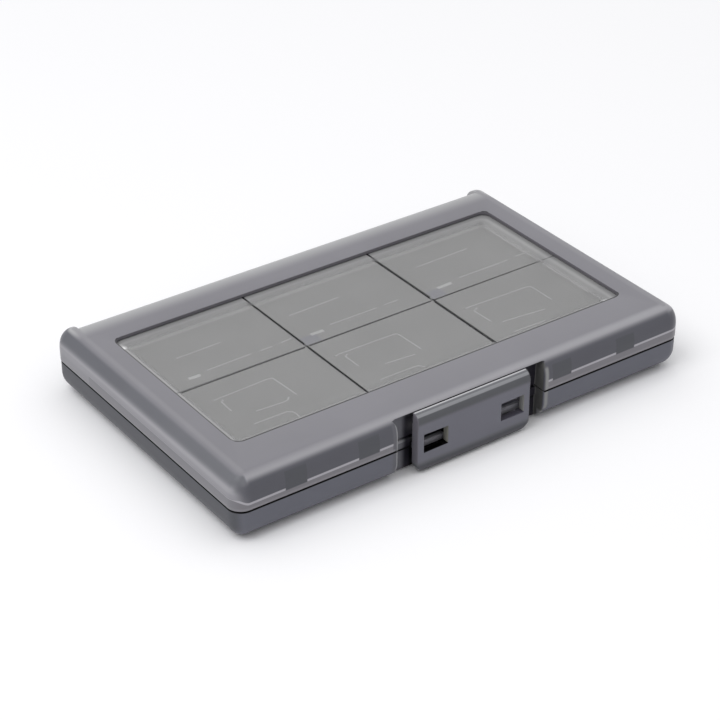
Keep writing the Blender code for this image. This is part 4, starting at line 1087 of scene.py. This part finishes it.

# The latch's plastic is the lid's, but nothing shines through it. Its colour carries painted shade under its
# brow, at its foot, on its right end and on the walls of its windows. It carries painted highlights where its
# barrel turns to the light, on its left end and on the windows' far edges.
latch_smoke, tree, shader = finish("smoke_grey_latch_abs", IOR=1.5, Specular_IOR_Level=0.2)
place = placed(tree)
BEHIND_FACE = ("y", -36.1, None, 0.1)
latch_colour = painted(
    tree,
    place,
    "#6d6d76",
    [
        ("#57585c", 1.0, ("z", 12.0, None, 1.0)),
        ("#8c8d91", 1.0, ("z", 13.6, 14.06, 0.16)),
        ("#707175", 1.0, ("z", 14.08, None, 0.05)),
        ("#b8b8bc", 1.0, ("z", 14.215, None, 0.02)),
        ("#67656c", 1.0, ("x", None, -14.1, 0.1)),
        ("#626368", 1.0, ("z", None, 3.1, 0.9)),
        ("#4c4d52", 1.0, ("z", None, 2.5, 1.0)),
        ("#222128", 1.0, ("x", 14.0, None, 0.12), ("z", 8.0, None, 6.0)),
        ("#020202", 1.0, ("x", -12.7, -6.7, 0.04), ("z", 5.1, 9.5, 0.1), BEHIND_FACE),
        ("#4e4c56", 1.0, ("x", 6.7, 12.7, 0.04), ("z", 5.1, 9.5, 0.1), BEHIND_FACE),
        ("#84837c", 1.0, ("x", -7.0, -6.7, 0.04), ("z", 5.4, 9.4, 0.05), BEHIND_FACE),
        ("#8c8c8a", 1.0, ("x", 12.4, 12.7, 0.04), ("z", 5.4, 9.4, 0.05), BEHIND_FACE),
    ],
)
moulded(tree, place, shader, latch_colour, flow=12.0, roughness=0.34)
flap_faces = [face for group in faces for face in group.tolist()]
flap = built("latch_flap_moulding", np.vstack([front_skin, back_skin]), flap_faces, latch_smoke)
fitted(flap, "latch", crease=30, replaced=["latch_flap"])

LATCH_HOOK_SPANS = [(6.8, 12.6), (-12.6, -6.8)]
LATCH_KNUCKLES = [(7.5, 13.75), (-13.75, -7.5), (-2.5, 2.5)]
LATCH_HOOK = [(-35.1, 3.9), (-35.1, 4.5), (-34.0, 4.5), (-34.0, 4.25), (-34.35, 3.9)]
LATCH_HOOK_DRAW = 0.06
LATCH_KNUCKLE_SIDES = 40

hooks = carried(np.array(LATCH_HOOK), LATCH_HOOK_SPANS, edge=LATCH_HOOK_DRAW)
latch_hooks = built("latch_hooks", *hooks, latch_smoke)
fitted(latch_hooks, "latch")
turn = np.linspace(0, 2 * math.pi, LATCH_KNUCKLE_SIDES, endpoint=False)
round_y = LATCH_Y + LUG_RADIUS * np.cos(turn)
round_z = LATCH_Z + LUG_RADIUS * np.sin(turn)
rounds = carried(np.stack([round_y, round_z], axis=1), LATCH_KNUCKLES, edge=LUG_DRAW)
latch_knuckles = built("latch_knuckles", *rounds, latch_smoke)
fitted(latch_knuckles, "latch")
